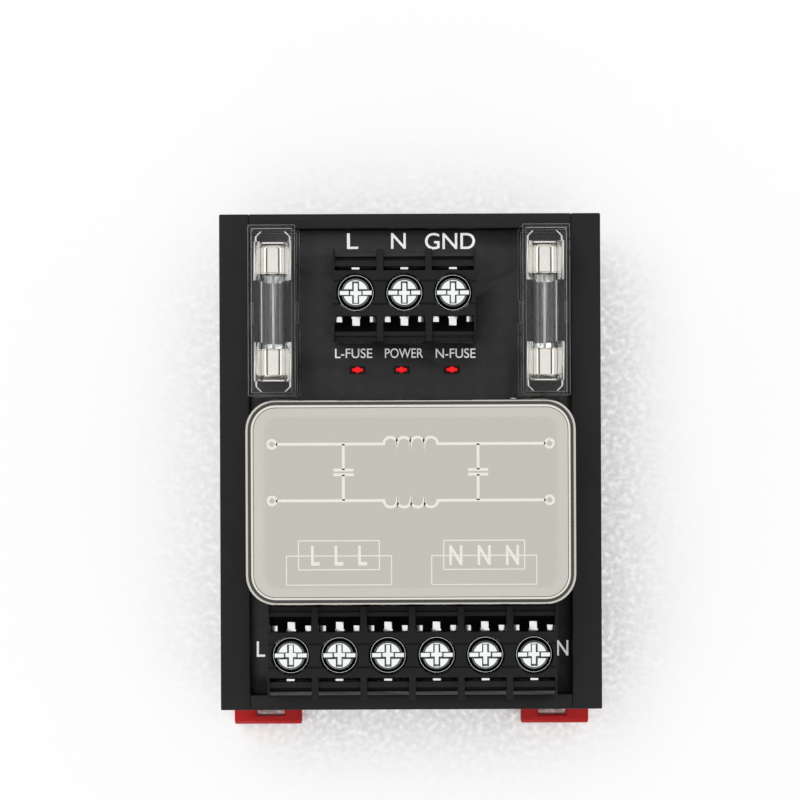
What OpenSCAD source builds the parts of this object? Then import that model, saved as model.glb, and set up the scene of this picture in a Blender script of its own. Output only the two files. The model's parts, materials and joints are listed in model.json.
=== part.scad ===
// Mains line filter module on a rail carrier, with two fuses and screw terminals.
//
// Millimetres. X runs along the rail, Y across it and Z away from it. The origin is the
// centre of the rail seat, so the rail's front face lies in the plane Z = 0.
// The board follows from the parts that stand on it, and the carrier from the board.

/* [Board] */
// Length of the board that shows between the side plates
board_span = 50; // [50:0.5:70]
// Thickness of the board
board_thick = 1.6; // [1:0.1:2.4]
// Depth to which each end of the board enters a side plate
board_tuck = 0.8; // [0.4:0.1:1.6]
// Length of the pins that stands out below the board
pin_tail = 1.4; // [0.8:0.1:2.2]

/* [Tray] */
// Thickness of the tray's side walls, which form the rim
rim_wall = 2.3; // [1.6:0.1:4]
// Height of the rim above the board
rim_lip = 1.8; // [0.6:0.1:3]
// Thickness of the tray's floor
tray_floor = 2; // [1.2:0.1:3]
// Free height between the floor and the board
tray_depth = 8.6; // [8:0.1:16]
// Width of the ledges that carry the board
ledge_width = 1.6; // [1:0.1:2.5]
// Thickness of the ledges
ledge_thick = 1.2; // [0.8:0.1:2]
// Depth of the recessed panels on the outer faces
panel_depth = 0.4; // [0.2:0.1:0.8]
// Distance of the panels from the levels of the floor and the board
panel_margin = 1; // [0.5:0.1:2]
// Chamfer along the tray's lower edges
tray_chamfer = 1.5; // [0.5:0.1:2]
// Bore of the round channels that take the side plates' pegs
channel_bore = 4; // [3:0.1:5]
// Wall round each channel's bore
channel_wall = 1.2; // [0.8:0.1:1.6]
// Distance of the channels from the middle of the tray
channel_y = 27; // [20:0.5:29]

/* [Side plates and feet] */
// Thickness of each side plate
side_thick = 4.6; // [3:0.1:7]
// Chamfer of the side plates' free lower corner
plate_chamfer = 4; // [1:0.1:6]
// Length of the pegs that enter the tray's channels
peg_length = 6; // [3:0.5:12]
// Height of the feet between the rail and the tray
foot_height = 4; // [3:0.1:8]
// Depth of the feet behind the rail's front face
foot_depth = 4.6; // [4.3:0.1:6]
// Width of the rail
rail_width = 35; // [32:0.5:38]
// Thickness of the rail's flange
rail_flange = 1; // [0.8:0.1:1.5]
// Reach of the fixed hook behind the flange
hook_reach = 1.6; // [1:0.1:2.5]
// Length of the fixed hook's leg across the rail
hook_leg = 8; // [5:0.5:12]
// Chamfer at the back of the fixed hook
hook_chamfer = 1; // [0.5:0.1:2]
// Thickness of the skirt on the inner side of each latch
skirt_thick = 1.9; // [1.2:0.1:3]
// Thickness of the lips that hold each latch up
lip_thick = 0.9; // [0.6:0.1:1]
// Width of the inner lip under the latch
lip_reach = 1.2; // [0.8:0.1:2]

/* [Rail latches] */
// Width of each latch
latch_width = 10.9; // [8:0.1:13]
// Length of the latch that stands out past the tray
latch_overhang = 4.2; // [3:0.1:8]
// Travel of the latch
latch_travel = 3.2; // [2:0.1:4]
// Reach of the latch nose behind the flange
nose_reach = 1.3; // [1:0.1:2]
// Distance of the latch from the outer face of the side plate
latch_inset = 0.9; // [0.7:0.1:2]
// Length of the slope under the latch nose
nose_slope = 3; // [1.5:0.1:5]
// Chamfer at the outer end of the latch
latch_chamfer = 0.6; // [0.3:0.1:1]
// Diameter of the peg that stops the latch
stop_peg = 3; // [2:0.1:4]
// Distance of the peg from the tip of the latch nose
stop_back = 9; // [7:0.5:12]
// Width of the screwdriver slot
driver_slot = 4.5; // [3:0.1:6]
// Distance of the screwdriver slot from the end of the latch
slot_margin = 1.4; // [1:0.1:2]
// Length of the screwdriver slot
slot_length = 2.3; // [1.2:0.1:3]
// Offset of the screwdriver slot towards the middle of the module
slot_shift = 0.4; // [0:0.1:1]

/* [Filter can] */
// Gap between the can and each side plate
can_side_gap = 0.4; // [0.2:0.1:2]
// Width of the can across the rail
can_width = 30.6; // [27:0.1:40]
// Height of the can above the board
can_height = 19.6; // [18:0.1:30]
// Radius of the upright corners
can_corner = 4.5; // [3:0.1:6]
// Radius of the drawn edge round the top
can_edge = 1.4; // [0.8:0.1:2.4]
// Thickness of the drawn sheet
can_sheet = 0.6; // [0.4:0.1:1]
// Gap between the can and the output terminals
can_gap = 0.75; // [0.3:0.05:1]
// Width of the two earthing tabs
tab_width = 1.6; // [1:0.1:2]
// Distance of the earthing tabs from the middle of the can
tab_x = 16; // [8:0.5:18]
// Thickness of the plastic base
base_thick = 1.6; // [1:0.1:2.5]
// Depth of the casting resin above the base
resin_depth = 4.4; // [3:0.1:6]

/* [Choke and capacitors] */
// Outer diameter of the ring core
core_outer = 23.6; // [20:0.1:24]
// Diameter of the hole in the ring core
core_inner = 13; // [11:0.1:14]
// Height of the ring core
core_height = 10.5; // [8:0.1:12]
// Radius of the ring core's edges
core_round = 1.5; // [0.8:0.1:2]
// Diameter of the winding wire
wire_size = 1.1; // [0.8:0.1:1.2]
// Turns in each winding
winding_turns = 8; // [5:1:9]
// Resin between the choke's well and each mains capacitor
choke_gap = 1.5; // [0.6:0.1:3]
// Gap between neighbouring parts in the can
part_gap = 0.8; // [0.4:0.1:1.5]
// Gap between the mains capacitors and the top of the can
capacitor_head_gap = 2.4; // [0.5:0.1:5]
// Gap between the earth capacitors and the can's long sides
ycap_side_gap = 1.75; // [0.8:0.05:3]
// Diameter of each earth capacitor
ycap_size = 8; // [6:0.1:9]
// Thickness of each earth capacitor
ycap_thick = 3.4; // [2.4:0.1:4]
// Diameter of the round pins
pin_size = 1.2; // [0.8:0.1:1.4]
// Distance of the filter's pins from the can's long sides
filter_pin_margin = 2.1; // [1.5:0.1:3]
// Distance of the filter's pins from the mains capacitors
filter_pin_gap = 2.4; // [1.6:0.1:3]

/* [Terminals] */
// Distance between neighbouring terminals
cell_pitch = 7.42; // [7.2:0.01:7.9]
// Thickness of the walls between terminals
cell_wall = 1.05; // [0.8:0.05:1.4]
// Thickness of the walls at the ends of a block
end_wall = 0.3; // [0.3:0.05:1]
// Height of a block
block_height = 10; // [9.6:0.1:13]
// Width of the window between the inner bar and the deck
inner_window = 2.35; // [2:0.05:4]
// Width of the window between the deck and the outer bar
outer_window = 0.6; // [0.6:0.05:3]
// Width of the outer bar
outer_bar = 0.9; // [0.6:0.05:1.5]
// Width of the groove between the outer bar and the front slope
front_groove = 0.65; // [0.4:0.05:1.2]
// Run of the slope above the wire mouths
front_slope = 0.7; // [0.5:0.05:2]
// Reach of the walls past the wire mouths
wall_reach = 0.45; // [0.3:0.05:2]
// Thickness of a block's floor
block_floor = 1.2; // [0.8:0.1:1.6]
// Thickness of the deck that holds the screwdriver holes
deck_thick = 3; // [2:0.1:3.4]
// Diameter of the screw heads
screw_head = 5.6; // [4.5:0.1:6]
// Play round the screw heads in the screwdriver holes
head_play = 0.15; // [0.1:0.05:0.4]
// Least width of the deck beside the screwdriver holes
hole_margin = 0.525; // [0.3:0.025:1]
// Depth of the screw heads below the deck
head_recess = 0.3; // [0.2:0.1:1]
// Diameter of the screw threads
screw_thread = 3; // [2.5:0.1:3.2]
// Width of the slot in the screw heads
screw_slot = 0.83; // [0.6:0.01:1]
// Number of input terminals
input_cells = 3; // [2:1:3]
// Offset of the input block from the middle of the board
input_shift = -0.85; // [-2:0.05:2]
// Distance of the input block from the edge of the board
input_inset = 3.6; // [2:0.1:3.8]
// Room at each end of the output block
output_margin = 2.3; // [1.5:0.1:5]
// Offset of the output block from the middle of the board
output_shift = 0.15; // [-0.5:0.05:0.5]

/* [Fuses] */
// Length of each fuse
fuse_length = 20.2; // [19:0.1:25]
// Diameter of the fuse caps
cap_size = 4.9; // [4.5:0.1:6]
// Length of the fuse caps
cap_length = 4.4; // [4:0.1:5]
// Thickness of the caps' end wall
cap_end = 0.5; // [0.3:0.1:0.8]
// Thickness of the caps' round wall
cap_wall = 0.15; // [0.1:0.01:0.25]
// Wall of the glass tube
glass_wall = 0.5; // [0.4:0.05:0.8]
// Diameter of the fuse wire
element_size = 0.4; // [0.2:0.02:0.5]
// Height of the fuse axis above the board
fuse_height = 5.8; // [5.2:0.1:6.4]
// Thickness of the clip strip
clip_strip = 0.3; // [0.2:0.02:0.34]
// Length of each clip
clip_length = 6; // [5:0.1:6.6]
// Length of the tips at the ends of the clips
tip_length = 1.6; // [0.6:0.1:2]
// Length over which the tips bend inwards
tip_bend = 0.8; // [0.4:0.1:1]
// Gap between the can and the covers
cover_gap = 0.7; // [0.3:0.1:2]
// Gap between the clips' tips and the ends of the cover
cover_end_gap = 0.2; // [0.2:0.1:2]
// Gap between the clips and the sides of the cover
cover_side_gap = 0.6; // [0.5:0.1:2]
// Gap between the fuse caps and the top of the cover
cover_head_gap = 2.55; // [1.5:0.05:4]
// Amount by which the cover narrows to its top
cover_draft = 0.5; // [0.3:0.1:0.8]
// Wall of the cover
cover_wall = 0.5; // [0.4:0.05:0.8]
// Offset of the fuses from the middle of the board
fuse_shift = -0.15; // [-0.5:0.05:0.1]

/* [Indicators] */
// Length of an indicator's body
led_length = 2.4; // [1.6:0.1:3]
// Width of an indicator's body
led_width = 1.1; // [1:0.1:1.4]
// Height of an indicator
led_height = 0.9; // [0.5:0.1:1.2]
// Length of the lens on an indicator
lens_length = 1.65; // [1.2:0.05:1.8]
// Diameter of the round middle of the lens
lens_size = 0.95; // [0.6:0.05:1]
// Distance of the indicators from the input block
led_gap = 4.05; // [3:0.05:4.6]
// Distance of the outer indicators from the middle of the input block
led_pitch = 7.35; // [5:0.05:9]
// Offset of the middle indicator from the middle of the input block
led_shift = -0.5; // [-1:0.1:1]

/* [Hidden] */
$fn = 48;

// Overlap that carries a cut past the face it opens
cut = 1;

// Clearances
board_play = 0.1;     // round the board in its grooves
rim_gap = 0.1;        // between the board and the tray's walls
peg_play = 0.1;       // round the pegs in their channels, across the diameter
rail_play = 0.4;      // between the rail's edges and the feet
slide_play = 0.2;     // round the latches
hole_play = 0.2;      // round pins in their holes, across the diameter
thread_play = 0.1;    // round the screw threads, across the diameter
wire_play = 0.05;     // between the winding wire and what it touches

// Levels
floor_under_z = foot_height;
floor_z = floor_under_z + tray_floor;
board_under_z = floor_z + tray_depth;
board_z = board_under_z + board_thick;
rim_z = board_z + rim_lip;

// Terminals: distances along a block's depth, from its inner face to its wire side
cell_open = cell_pitch - cell_wall;
screw_hole = screw_head + 2 * head_play;
inner_ledge = 0.85;
ledge_drop = 1.2;
inner_bar = 0.7;
bar_drop = 0.5;
window_start = inner_ledge + inner_bar;
deck_start = window_start + inner_window;
deck_end = deck_start + screw_hole + 2 * hole_margin;
window_end = deck_end + outer_window;
bar_end = window_end + outer_bar;
groove_end = bar_end + front_groove;
front_face = groove_end + front_slope;
block_depth = front_face + wall_reach;
ridge_drop = 1.2;
slope_drop = 2.4;
screw_shift = 0.1;
screw_y = (deck_start + deck_end) / 2 + screw_shift;
seam_y = 1.75;
seam_width = 0.22;
chamber_top = block_height - deck_thick;
wire_mouth = 5.6;
mouth_drop = 1.2;
wire_gap = 2.4;
pin_y = deck_start + 1;
clamp_play = 0.4;
clamp_thick = 1;
clamp_top = chamber_top - clamp_play;
clamp_start = deck_start + 0.4;
clamp_end = deck_end - 0.15;
clamp_width = 5.2;
finger_width = 1.25;
finger_root = 1.5;
side_finger = 1;
finger_play = 0.1;
long_finger_tip = window_start + 0.95;
side_finger_tip = window_start + 1.5;
root_start = deck_start - 0.3;
tab_start = deck_end + 0.1;
tab_end = tab_start + 0.4;
tab_top = block_height - 0.4;
contact_width = 4.4;
contact_strip = 0.8;
contact_start = deck_start + 0.4;
contact_top = clamp_top - clamp_thick - wire_gap;
head_top = block_height - head_recess;
head_flat = 3.2;
head_rim = 0.15;
head_edge = 0.05;
head_drop = 1.1;
slot_depth = 0.7;
cross_depth = 1.4;
cross_reach = 0.95;
thread_end = block_floor + 0.3;

// Fuses: the cover clears the clips, and the clips' end stops stand off the caps
stop_gap = 0.6;
clip_outer = fuse_length / 2 + stop_gap;
cover_length = 2 * (clip_outer + tip_length + cover_end_gap + cover_wall);
cover_width = cap_size + 2 * (clip_strip + cover_side_gap + cover_wall);
cover_height = fuse_height + cap_size / 2 + cover_head_gap + cover_wall;

// Outlines: the board carries the output block, the can and the covers in a row
board_width = block_depth + can_gap + can_width + cover_gap + cover_length;
tray_inner = board_width + 2 * rim_gap;
tray_width = tray_inner + 2 * rim_wall;
side_x = board_span / 2 + side_thick;
board_edge = board_width / 2;

// Feet and latches
latch_x = side_x - latch_inset - latch_width / 2;
foot_inner_x = latch_x - latch_width / 2 - slide_play - skirt_thick;
foot_width = side_x - foot_inner_x;
outer_skirt = latch_inset - slide_play;
rail_edge = rail_width / 2 + rail_play;
latch_thick = foot_depth - 2 * slide_play - lip_thick;
nose_y = -(rail_width / 2 - nose_reach);
latch_end = -(tray_width / 2 + latch_overhang);
flange_gap = rail_flange + slide_play;
stop_y = nose_y - stop_back;
skirt_end = -tray_width / 2;
panel_height = tray_depth - 2 * panel_margin;
panel_corner = 2;

// Places of the terminals; the output block holds as many as fit
output_cells = floor((board_span - 2 * output_margin + cell_wall - 2 * end_wall) / cell_pitch);
output_inner_y = -board_edge + block_depth;
input_inner_y = board_edge - input_inset - block_depth;

// Filter
can_length = board_span - 2 * can_side_gap;
can_y = output_inner_y + can_gap + can_width / 2;
core_middle = (core_outer + core_inner) / 4;
core_half = (core_outer - core_inner) / 4;
choke_z = base_thick + wire_size + 2 * wire_play + core_height / 2;
well_radius = core_outer / 2 + wire_size + 4 * wire_play;
xcap_outer = can_length / 2 - can_sheet - part_gap;
xcap_inner = well_radius + choke_gap;
xcap_thick = xcap_outer - xcap_inner;
xcap_x = (xcap_outer + xcap_inner) / 2;
ycap_y = can_width / 2 - can_sheet - ycap_side_gap - ycap_thick / 2;
xcap_width = 2 * (ycap_y - ycap_thick / 2 - part_gap);
xcap_height = can_height - can_sheet - base_thick - capacitor_head_gap;
xcap_corner = 0.8;
pin_head = 2;
pin_head_height = 0.6;
filter_pin_x = xcap_inner - filter_pin_gap;
filter_pin_y = can_width / 2 - can_sheet - filter_pin_margin;
pin_bottom = -board_thick - pin_tail;

// Fuses
cover_margin = 0.3;
fuse_x = board_span / 2 - cover_width / 2 - cover_margin;
fuse_y = board_edge - cover_length / 2;
clip_spring = 1.6;
clip_leg = 1;
clip_inner_x = sqrt(pow(cap_size / 2, 2) - pow(clip_spring, 2));
clip_leg_x = clip_inner_x + clip_strip / 2;
clip_leg_y = clip_outer - clip_length / 2;
glass_size = cap_size - 2 * cap_wall;

// Rounded plate, as exact squares and circles
module rounded_plate(length, width, corner) {
    square([length - 2 * corner, width], center = true);
    square([length, width - 2 * corner], center = true);
    for (x = [-1, 1], y = [-1, 1])
        translate([x * (length / 2 - corner), y * (width / 2 - corner)])
            circle(r = corner);
}

// Section of a wall whose top edge is rounded on one side, from the axis outwards
module edge_section(reach, height, edge) {
    square([reach - edge, height]);
    square([reach, height - edge]);
    translate([reach - edge, height - edge]) circle(r = edge);
}

// Drawn box: upright corners of one radius and a rounded edge all round the top
module drawn_box(length, width, height, corner, edge) {
    straight_x = length - 2 * corner;
    straight_y = width - 2 * corner;
    for (x = [-1, 1], y = [-1, 1])
        translate([x * straight_x / 2, y * straight_y / 2, 0])
            rotate_extrude()
                edge_section(corner, height, edge);
    for (turn = [0, 180]) {
        rotate([90, 0, turn])
            linear_extrude(straight_y, center = true)
                edge_section(length / 2, height, edge);
        rotate([90, 0, turn + 90])
            linear_extrude(straight_x, center = true)
                edge_section(width / 2, height, edge);
    }
}

// Box given by its lowest and highest corners
module block(low, high) {
    translate(low) cube(high - low);
}

module on_board() {
    translate([0, 0, board_z]) children();
}

// Children at the left or right end of the module; side is -1 or 1
module at_side(side) {
    mirror([side < 0 ? 1 : 0, 0, 0]) children();
}

// ---- Carrier ----

// Section of the extruded tray, with Y to the right and Z up
module tray_section() {
    half = tray_width / 2;
    difference() {
        polygon([
            [-half, rim_z], [-half, floor_under_z + tray_chamfer],
            [-half + tray_chamfer, floor_under_z], [half - tray_chamfer, floor_under_z],
            [half, floor_under_z + tray_chamfer], [half, rim_z]
        ]);
        translate([-tray_inner / 2, floor_z]) square([tray_inner, rim_z - floor_z + cut]);
        for (end = [-1, 1])
            translate([end * half, (floor_z + board_under_z) / 2])
                square([2 * panel_depth, panel_height], center = true);
    }
    for (end = [-1, 1]) mirror([end < 0 ? 1 : 0, 0]) {
        translate([tray_inner / 2 - ledge_width, board_under_z - ledge_thick])
            square([ledge_width, ledge_thick]);
        translate([channel_y, floor_z + channel_bore / 2]) difference() {
            channel_outer = channel_bore / 2 + channel_wall;
            union() {
                circle(r = channel_outer);
                translate([-channel_outer, -channel_bore / 2])
                    square([2 * channel_outer, channel_bore / 2]);
            }
            circle(d = channel_bore);
            translate([-channel_outer, -channel_outer - channel_bore])
                square([2 * channel_outer, channel_outer + channel_bore / 2]);
        }
    }
}

module carrier_profile() {
    color("#2b2b2b")
        rotate([90, 0, 90])
            linear_extrude(board_span, center = true)
                tray_section();
}

// Foot that hooks over the rail, on the plate at positive X
module foot() {
    latch_low = -slide_play - latch_thick - slide_play;
    hook_tip = rail_width / 2 - hook_reach;
    hook_back = rail_edge + hook_leg;
    hook_face = 0.6;
    hook_rake = 0.7;
    // slab between the rail and the tray, with the fixed hook and its sloping back
    translate([foot_inner_x, 0, 0]) rotate([90, 0, 90]) linear_extrude(foot_width)
        polygon([
            [skirt_end, floor_under_z], [skirt_end, 0],
            [rail_edge, 0], [rail_edge, -flange_gap],
            [hook_tip, -flange_gap], [hook_tip, -foot_depth * hook_face],
            [rail_edge - rail_play, -foot_depth], [hook_back - hook_chamfer, -foot_depth],
            [hook_back, -foot_depth + hook_chamfer], [hook_back, 0],
            [hook_back + foot_height * hook_rake, floor_under_z]
        ]);
    // guide in which the latch slides, open at both ends
    difference() {
        block([foot_inner_x, skirt_end, -foot_depth], [side_x, -rail_edge, 0]);
        block([foot_inner_x + skirt_thick, skirt_end - cut, latch_low],
              [side_x - outer_skirt, -rail_edge + cut, cut]);
        block([foot_inner_x + skirt_thick + lip_reach, skirt_end - cut, -foot_depth - cut],
              [side_x - outer_skirt - lip_reach, -rail_edge + cut, latch_low + cut]);
    }
    translate([latch_x, stop_y, -slide_play - latch_thick])
        cylinder(d = stop_peg, h = latch_thick + slide_play + foot_height / 2);
}

// Outline of a side plate, with Y to the right and Z up
module plate_outline() {
    half = tray_width / 2;
    polygon([
        [-half, rim_z], [-half, floor_under_z],
        [half - plate_chamfer, floor_under_z], [half, floor_under_z + plate_chamfer],
        [half, rim_z]
    ]);
}

module side_plate(side) {
    inner_x = board_span / 2;
    color("#2c2c2c") at_side(side) {
        difference() {
            translate([inner_x, 0, 0]) rotate([90, 0, 90])
                linear_extrude(side_thick) plate_outline();
            block([inner_x - cut, -board_edge - board_play, board_under_z - board_play],
                  [inner_x + board_tuck + board_play, board_edge + board_play,
                   board_z + board_play]);
            translate([side_x - panel_depth, 0, (floor_z + board_under_z) / 2])
                rotate([90, 0, 90]) linear_extrude(panel_depth + cut)
                    rounded_plate(tray_width - 4 * plate_chamfer, panel_height, panel_corner);
        }
        for (end = [-1, 1])
            translate([inner_x, end * channel_y, floor_z + channel_bore / 2])
                rotate([0, -90, 0])
                    cylinder(d = channel_bore - peg_play, h = peg_length);
        foot();
    }
}

// Sliding latch on the plate at positive X, with its nose behind the rail's flange
module rail_latch(side) {
    top = -slide_play;
    bottom = top - latch_thick;
    half = latch_width / 2;
    color("#9c2729") at_side(side) translate([latch_x, 0, 0]) difference() {
        translate([-half, 0, 0]) rotate([90, 0, 90]) linear_extrude(latch_width)
            polygon([
                [-rail_edge, top], [-rail_edge, -flange_gap],
                [nose_y, -flange_gap], [nose_y, (bottom - flange_gap) / 2],
                [nose_y - nose_slope, bottom], [latch_end, bottom],
                [latch_end, top - latch_chamfer], [latch_end + latch_chamfer, top]
            ]);
        block([-stop_peg / 2 - slide_play, stop_y - stop_peg / 2 - slide_play, bottom - cut],
              [stop_peg / 2 + slide_play, stop_y + stop_peg / 2 + latch_travel + slide_play,
               top + cut]);
        translate([-slot_shift, latch_end + slot_margin, 0])
            block([-driver_slot / 2, 0, bottom - cut], [driver_slot / 2, slot_length, top + cut]);
    }
}

// ---- Board ----

// Children at every place where a round terminal pin passes through the board
module at_terminal_pins() {
    for (i = [0 : input_cells - 1])
        translate([input_shift + cell_x(i, input_cells), input_inner_y + pin_y, 0]) children();
    for (i = [0 : output_cells - 1])
        translate([output_shift + cell_x(i, output_cells), output_inner_y - pin_y, 0]) children();
}

module at_filter_pins() {
    for (x = [-1, 1], y = [-1, 1])
        translate([x * filter_pin_x, can_y + y * filter_pin_y, 0]) children();
}

module at_can_tabs() {
    for (turn = [-1, 1])
        translate([turn * tab_x, can_y + turn * (can_width / 2 - can_sheet / 2), 0]) children();
}

function fuse_place(side) = side * fuse_x + fuse_shift;

// Children at every leg of the fuse clips
module at_clip_legs() {
    for (side = [-1, 1], end = [-1, 1], leg = [-1, 1])
        translate([fuse_place(side) + leg * clip_leg_x, fuse_y + end * clip_leg_y, 0]) children();
}

module circuit_board() {
    board_length = board_span + 2 * board_tuck;
    color("#303130") difference() {
        translate([0, 0, board_under_z])
            linear_extrude(board_thick) square([board_length, board_width], center = true);
        translate([0, 0, board_under_z - cut]) {
            hole_depth = board_thick + 2 * cut;
            at_terminal_pins() cylinder(d = pin_size + hole_play, h = hole_depth);
            at_filter_pins() cylinder(d = pin_size + hole_play, h = hole_depth);
            at_clip_legs() cylinder(d = clip_leg + hole_play, h = hole_depth);
            at_can_tabs() cylinder(d = tab_width + hole_play, h = hole_depth);
        }
    }
}

// Fillet of solder round a pin, below the board
module solder_cone(size) {
    foot = size / 2 + 0.6;
    waist = size / 2 + 0.25;
    tip = size / 2 + 0.1;
    waist_z = -pin_tail * 0.4;
    tip_z = -pin_tail * 0.75;
    rotate_extrude() polygon([[0, 0], [foot, 0], [waist, waist_z], [tip, tip_z], [0, tip_z]]);
}

module solder_joints() {
    color("#c9cbcc") translate([0, 0, board_under_z]) {
        through = [0, 0, -pin_tail - cut];
        tall = pin_tail + 2 * cut;
        difference() {
            at_terminal_pins() solder_cone(pin_size);
            at_terminal_pins() translate(through) cylinder(d = pin_size, h = tall);
        }
        difference() {
            at_filter_pins() solder_cone(pin_size);
            at_filter_pins() translate(through) cylinder(d = pin_size, h = tall);
        }
        difference() {
            at_clip_legs() solder_cone(clip_leg);
            at_clip_legs() translate(through) linear_extrude(tall)
                square([clip_strip, clip_leg], center = true);
        }
        difference() {
            at_can_tabs() solder_cone(tab_width);
            at_can_tabs() translate(through) linear_extrude(tall)
                square([tab_width, can_sheet], center = true);
        }
    }
}

// ---- Filter ----

module filter_can() {
    color("#c8c5bb") on_board() {
        translate([0, can_y, 0]) difference() {
            drawn_box(can_length, can_width, can_height, can_corner, can_edge);
            translate([0, 0, -cut])
                drawn_box(can_length - 2 * can_sheet, can_width - 2 * can_sheet,
                          can_height - can_sheet + cut, can_corner - can_sheet,
                          can_edge - can_sheet);
        }
        at_can_tabs() translate([0, 0, pin_bottom])
            linear_extrude(-pin_bottom) square([tab_width, can_sheet], center = true);
    }
}

// Outline of everything inside the can, level by level
module can_plug(thick) {
    linear_extrude(thick)
        rounded_plate(can_length - 2 * can_sheet, can_width - 2 * can_sheet,
                      can_corner - can_sheet);
}

module filter_base() {
    color("#1d1d1d") on_board() difference() {
        translate([0, can_y, 0]) can_plug(base_thick);
        at_filter_pins() translate([0, 0, -cut])
            cylinder(d = pin_size + hole_play, h = base_thick + 2 * cut);
    }
}

module filter_pins() {
    color("#c9cbcc") on_board() at_filter_pins() {
        translate([0, 0, pin_bottom]) cylinder(d = pin_size, h = base_thick - pin_bottom);
        translate([0, 0, base_thick]) cylinder(d = pin_head, h = pin_head_height);
    }
}

module capacitor_box() {
    rounded_plate(xcap_thick, xcap_width, xcap_corner);
}

module mains_capacitor(side) {
    color("#d9a63a") on_board() translate([side * xcap_x, can_y, base_thick])
        linear_extrude(xcap_height) capacitor_box();
}

module at_earth_capacitors() {
    for (y = [-1, 1])
        translate([xcap_x, can_y + y * ycap_y, base_thick + ycap_size / 2])
            rotate([90, 0, 0]) children();
}

module earth_capacitors() {
    color("#3b6ea8") on_board() at_earth_capacitors()
        cylinder(d = ycap_size, h = ycap_thick, center = true);
}

// Resin that holds the pieces in the can; the choke stands in a round well
module casting_resin() {
    color("#4a3d33") on_board() difference() {
        translate([0, can_y, base_thick]) can_plug(resin_depth);
        translate([0, can_y, base_thick - cut]) cylinder(r = well_radius, h = resin_depth + 2 * cut);
        for (side = [-1, 1])
            translate([side * xcap_x, can_y, base_thick - cut])
                linear_extrude(resin_depth + 2 * cut) capacitor_box();
        at_earth_capacitors() cylinder(d = ycap_size, h = ycap_thick, center = true);
        at_filter_pins() translate([0, 0, base_thick - cut])
            cylinder(d = pin_head, h = pin_head_height + cut);
    }
}

module choke_core() {
    color("#3f5a46") on_board() translate([0, can_y, choke_z])
        rotate_extrude()
            translate([core_middle, 0])
                rounded_plate(2 * core_half, core_height, core_round);
}

// Path of the winding round the core's section: the four rounded corners, one after another.
// Each entry is [distance outwards, height, direction away from the section].
corner_steps = 4;
wire_reach = core_round + wire_size / 2 + wire_play;
section_path = [
    for (corner = [0 : 3], step = [0 : corner_steps - 1])
        let (
            heading = corner * 90 + step * 90 / (corner_steps - 1),
            out = (corner == 0 || corner == 3 ? 1 : -1) * (core_half - core_round),
            up = (corner < 2 ? 1 : -1) * (core_height / 2 - core_round)
        )
        [out + wire_reach * cos(heading), up + wire_reach * sin(heading), heading]
];

// Angle round the core between neighbouring turns, so that they just clear at the hole
turn_angle = 2 * asin((wire_size / 2 + 2 * wire_play) / (core_inner / 2 - wire_size));

// Point on the winding and the direction away from the core there
function winding_point(i, start) =
    let (
        place = section_path[i % len(section_path)],
        round_core = start + turn_angle * i / len(section_path),
        radius = core_middle + place[0]
    )
    [radius * cos(round_core), radius * sin(round_core), place[1]];

function winding_normal(i, start) =
    let (
        place = section_path[i % len(section_path)],
        round_core = start + turn_angle * i / len(section_path)
    )
    [cos(place[2]) * cos(round_core), cos(place[2]) * sin(round_core), sin(place[2])];

function unit(v) = v / norm(v);

// Continuous wire wound round one half of the core
module winding(start) {
    sides = 6;
    rings = winding_turns * len(section_path) + 1;
    points = [
        for (i = [0 : rings - 1])
            let (
                middle = winding_point(i, start),
                along = unit(winding_point(i + 1, start)
                    - (i > 0 ? winding_point(i - 1, start) : middle)),
                out = winding_normal(i, start),
                across = unit(cross(along, out)),
                away = cross(across, along)
            )
            for (k = [0 : sides - 1])
                middle + wire_size / 2
                    * (cos(k * 360 / sides) * away + sin(k * 360 / sides) * across)
    ];
    faces = concat(
        [[for (k = [0 : sides - 1]) k]],
        [for (i = [0 : rings - 2], k = [0 : sides - 1])
            [i * sides + k, (i + 1) * sides + k,
             (i + 1) * sides + (k + 1) % sides, i * sides + (k + 1) % sides]],
        [[for (k = [sides - 1 : -1 : 0]) (rings - 1) * sides + k]]
    );
    polyhedron(points, faces, convexity = 10);
}

module choke_winding(middle_angle) {
    color("#b5672f") on_board() translate([0, can_y, choke_z])
        winding(middle_angle - turn_angle * winding_turns / 2);
}

// ---- Terminals ----

function block_length(cells) = cells * cell_pitch - cell_wall + 2 * end_wall;
function cell_x(i, cells) = (i - (cells - 1) / 2) * cell_pitch;

module input_block() {
    translate([input_shift, input_inner_y, board_z]) children();
}

module output_block() {
    translate([output_shift, output_inner_y, board_z]) rotate([0, 0, 180]) children();
}

module at_cells(cells) {
    for (i = [0 : cells - 1]) translate([cell_x(i, cells), 0, 0]) children();
}

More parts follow.
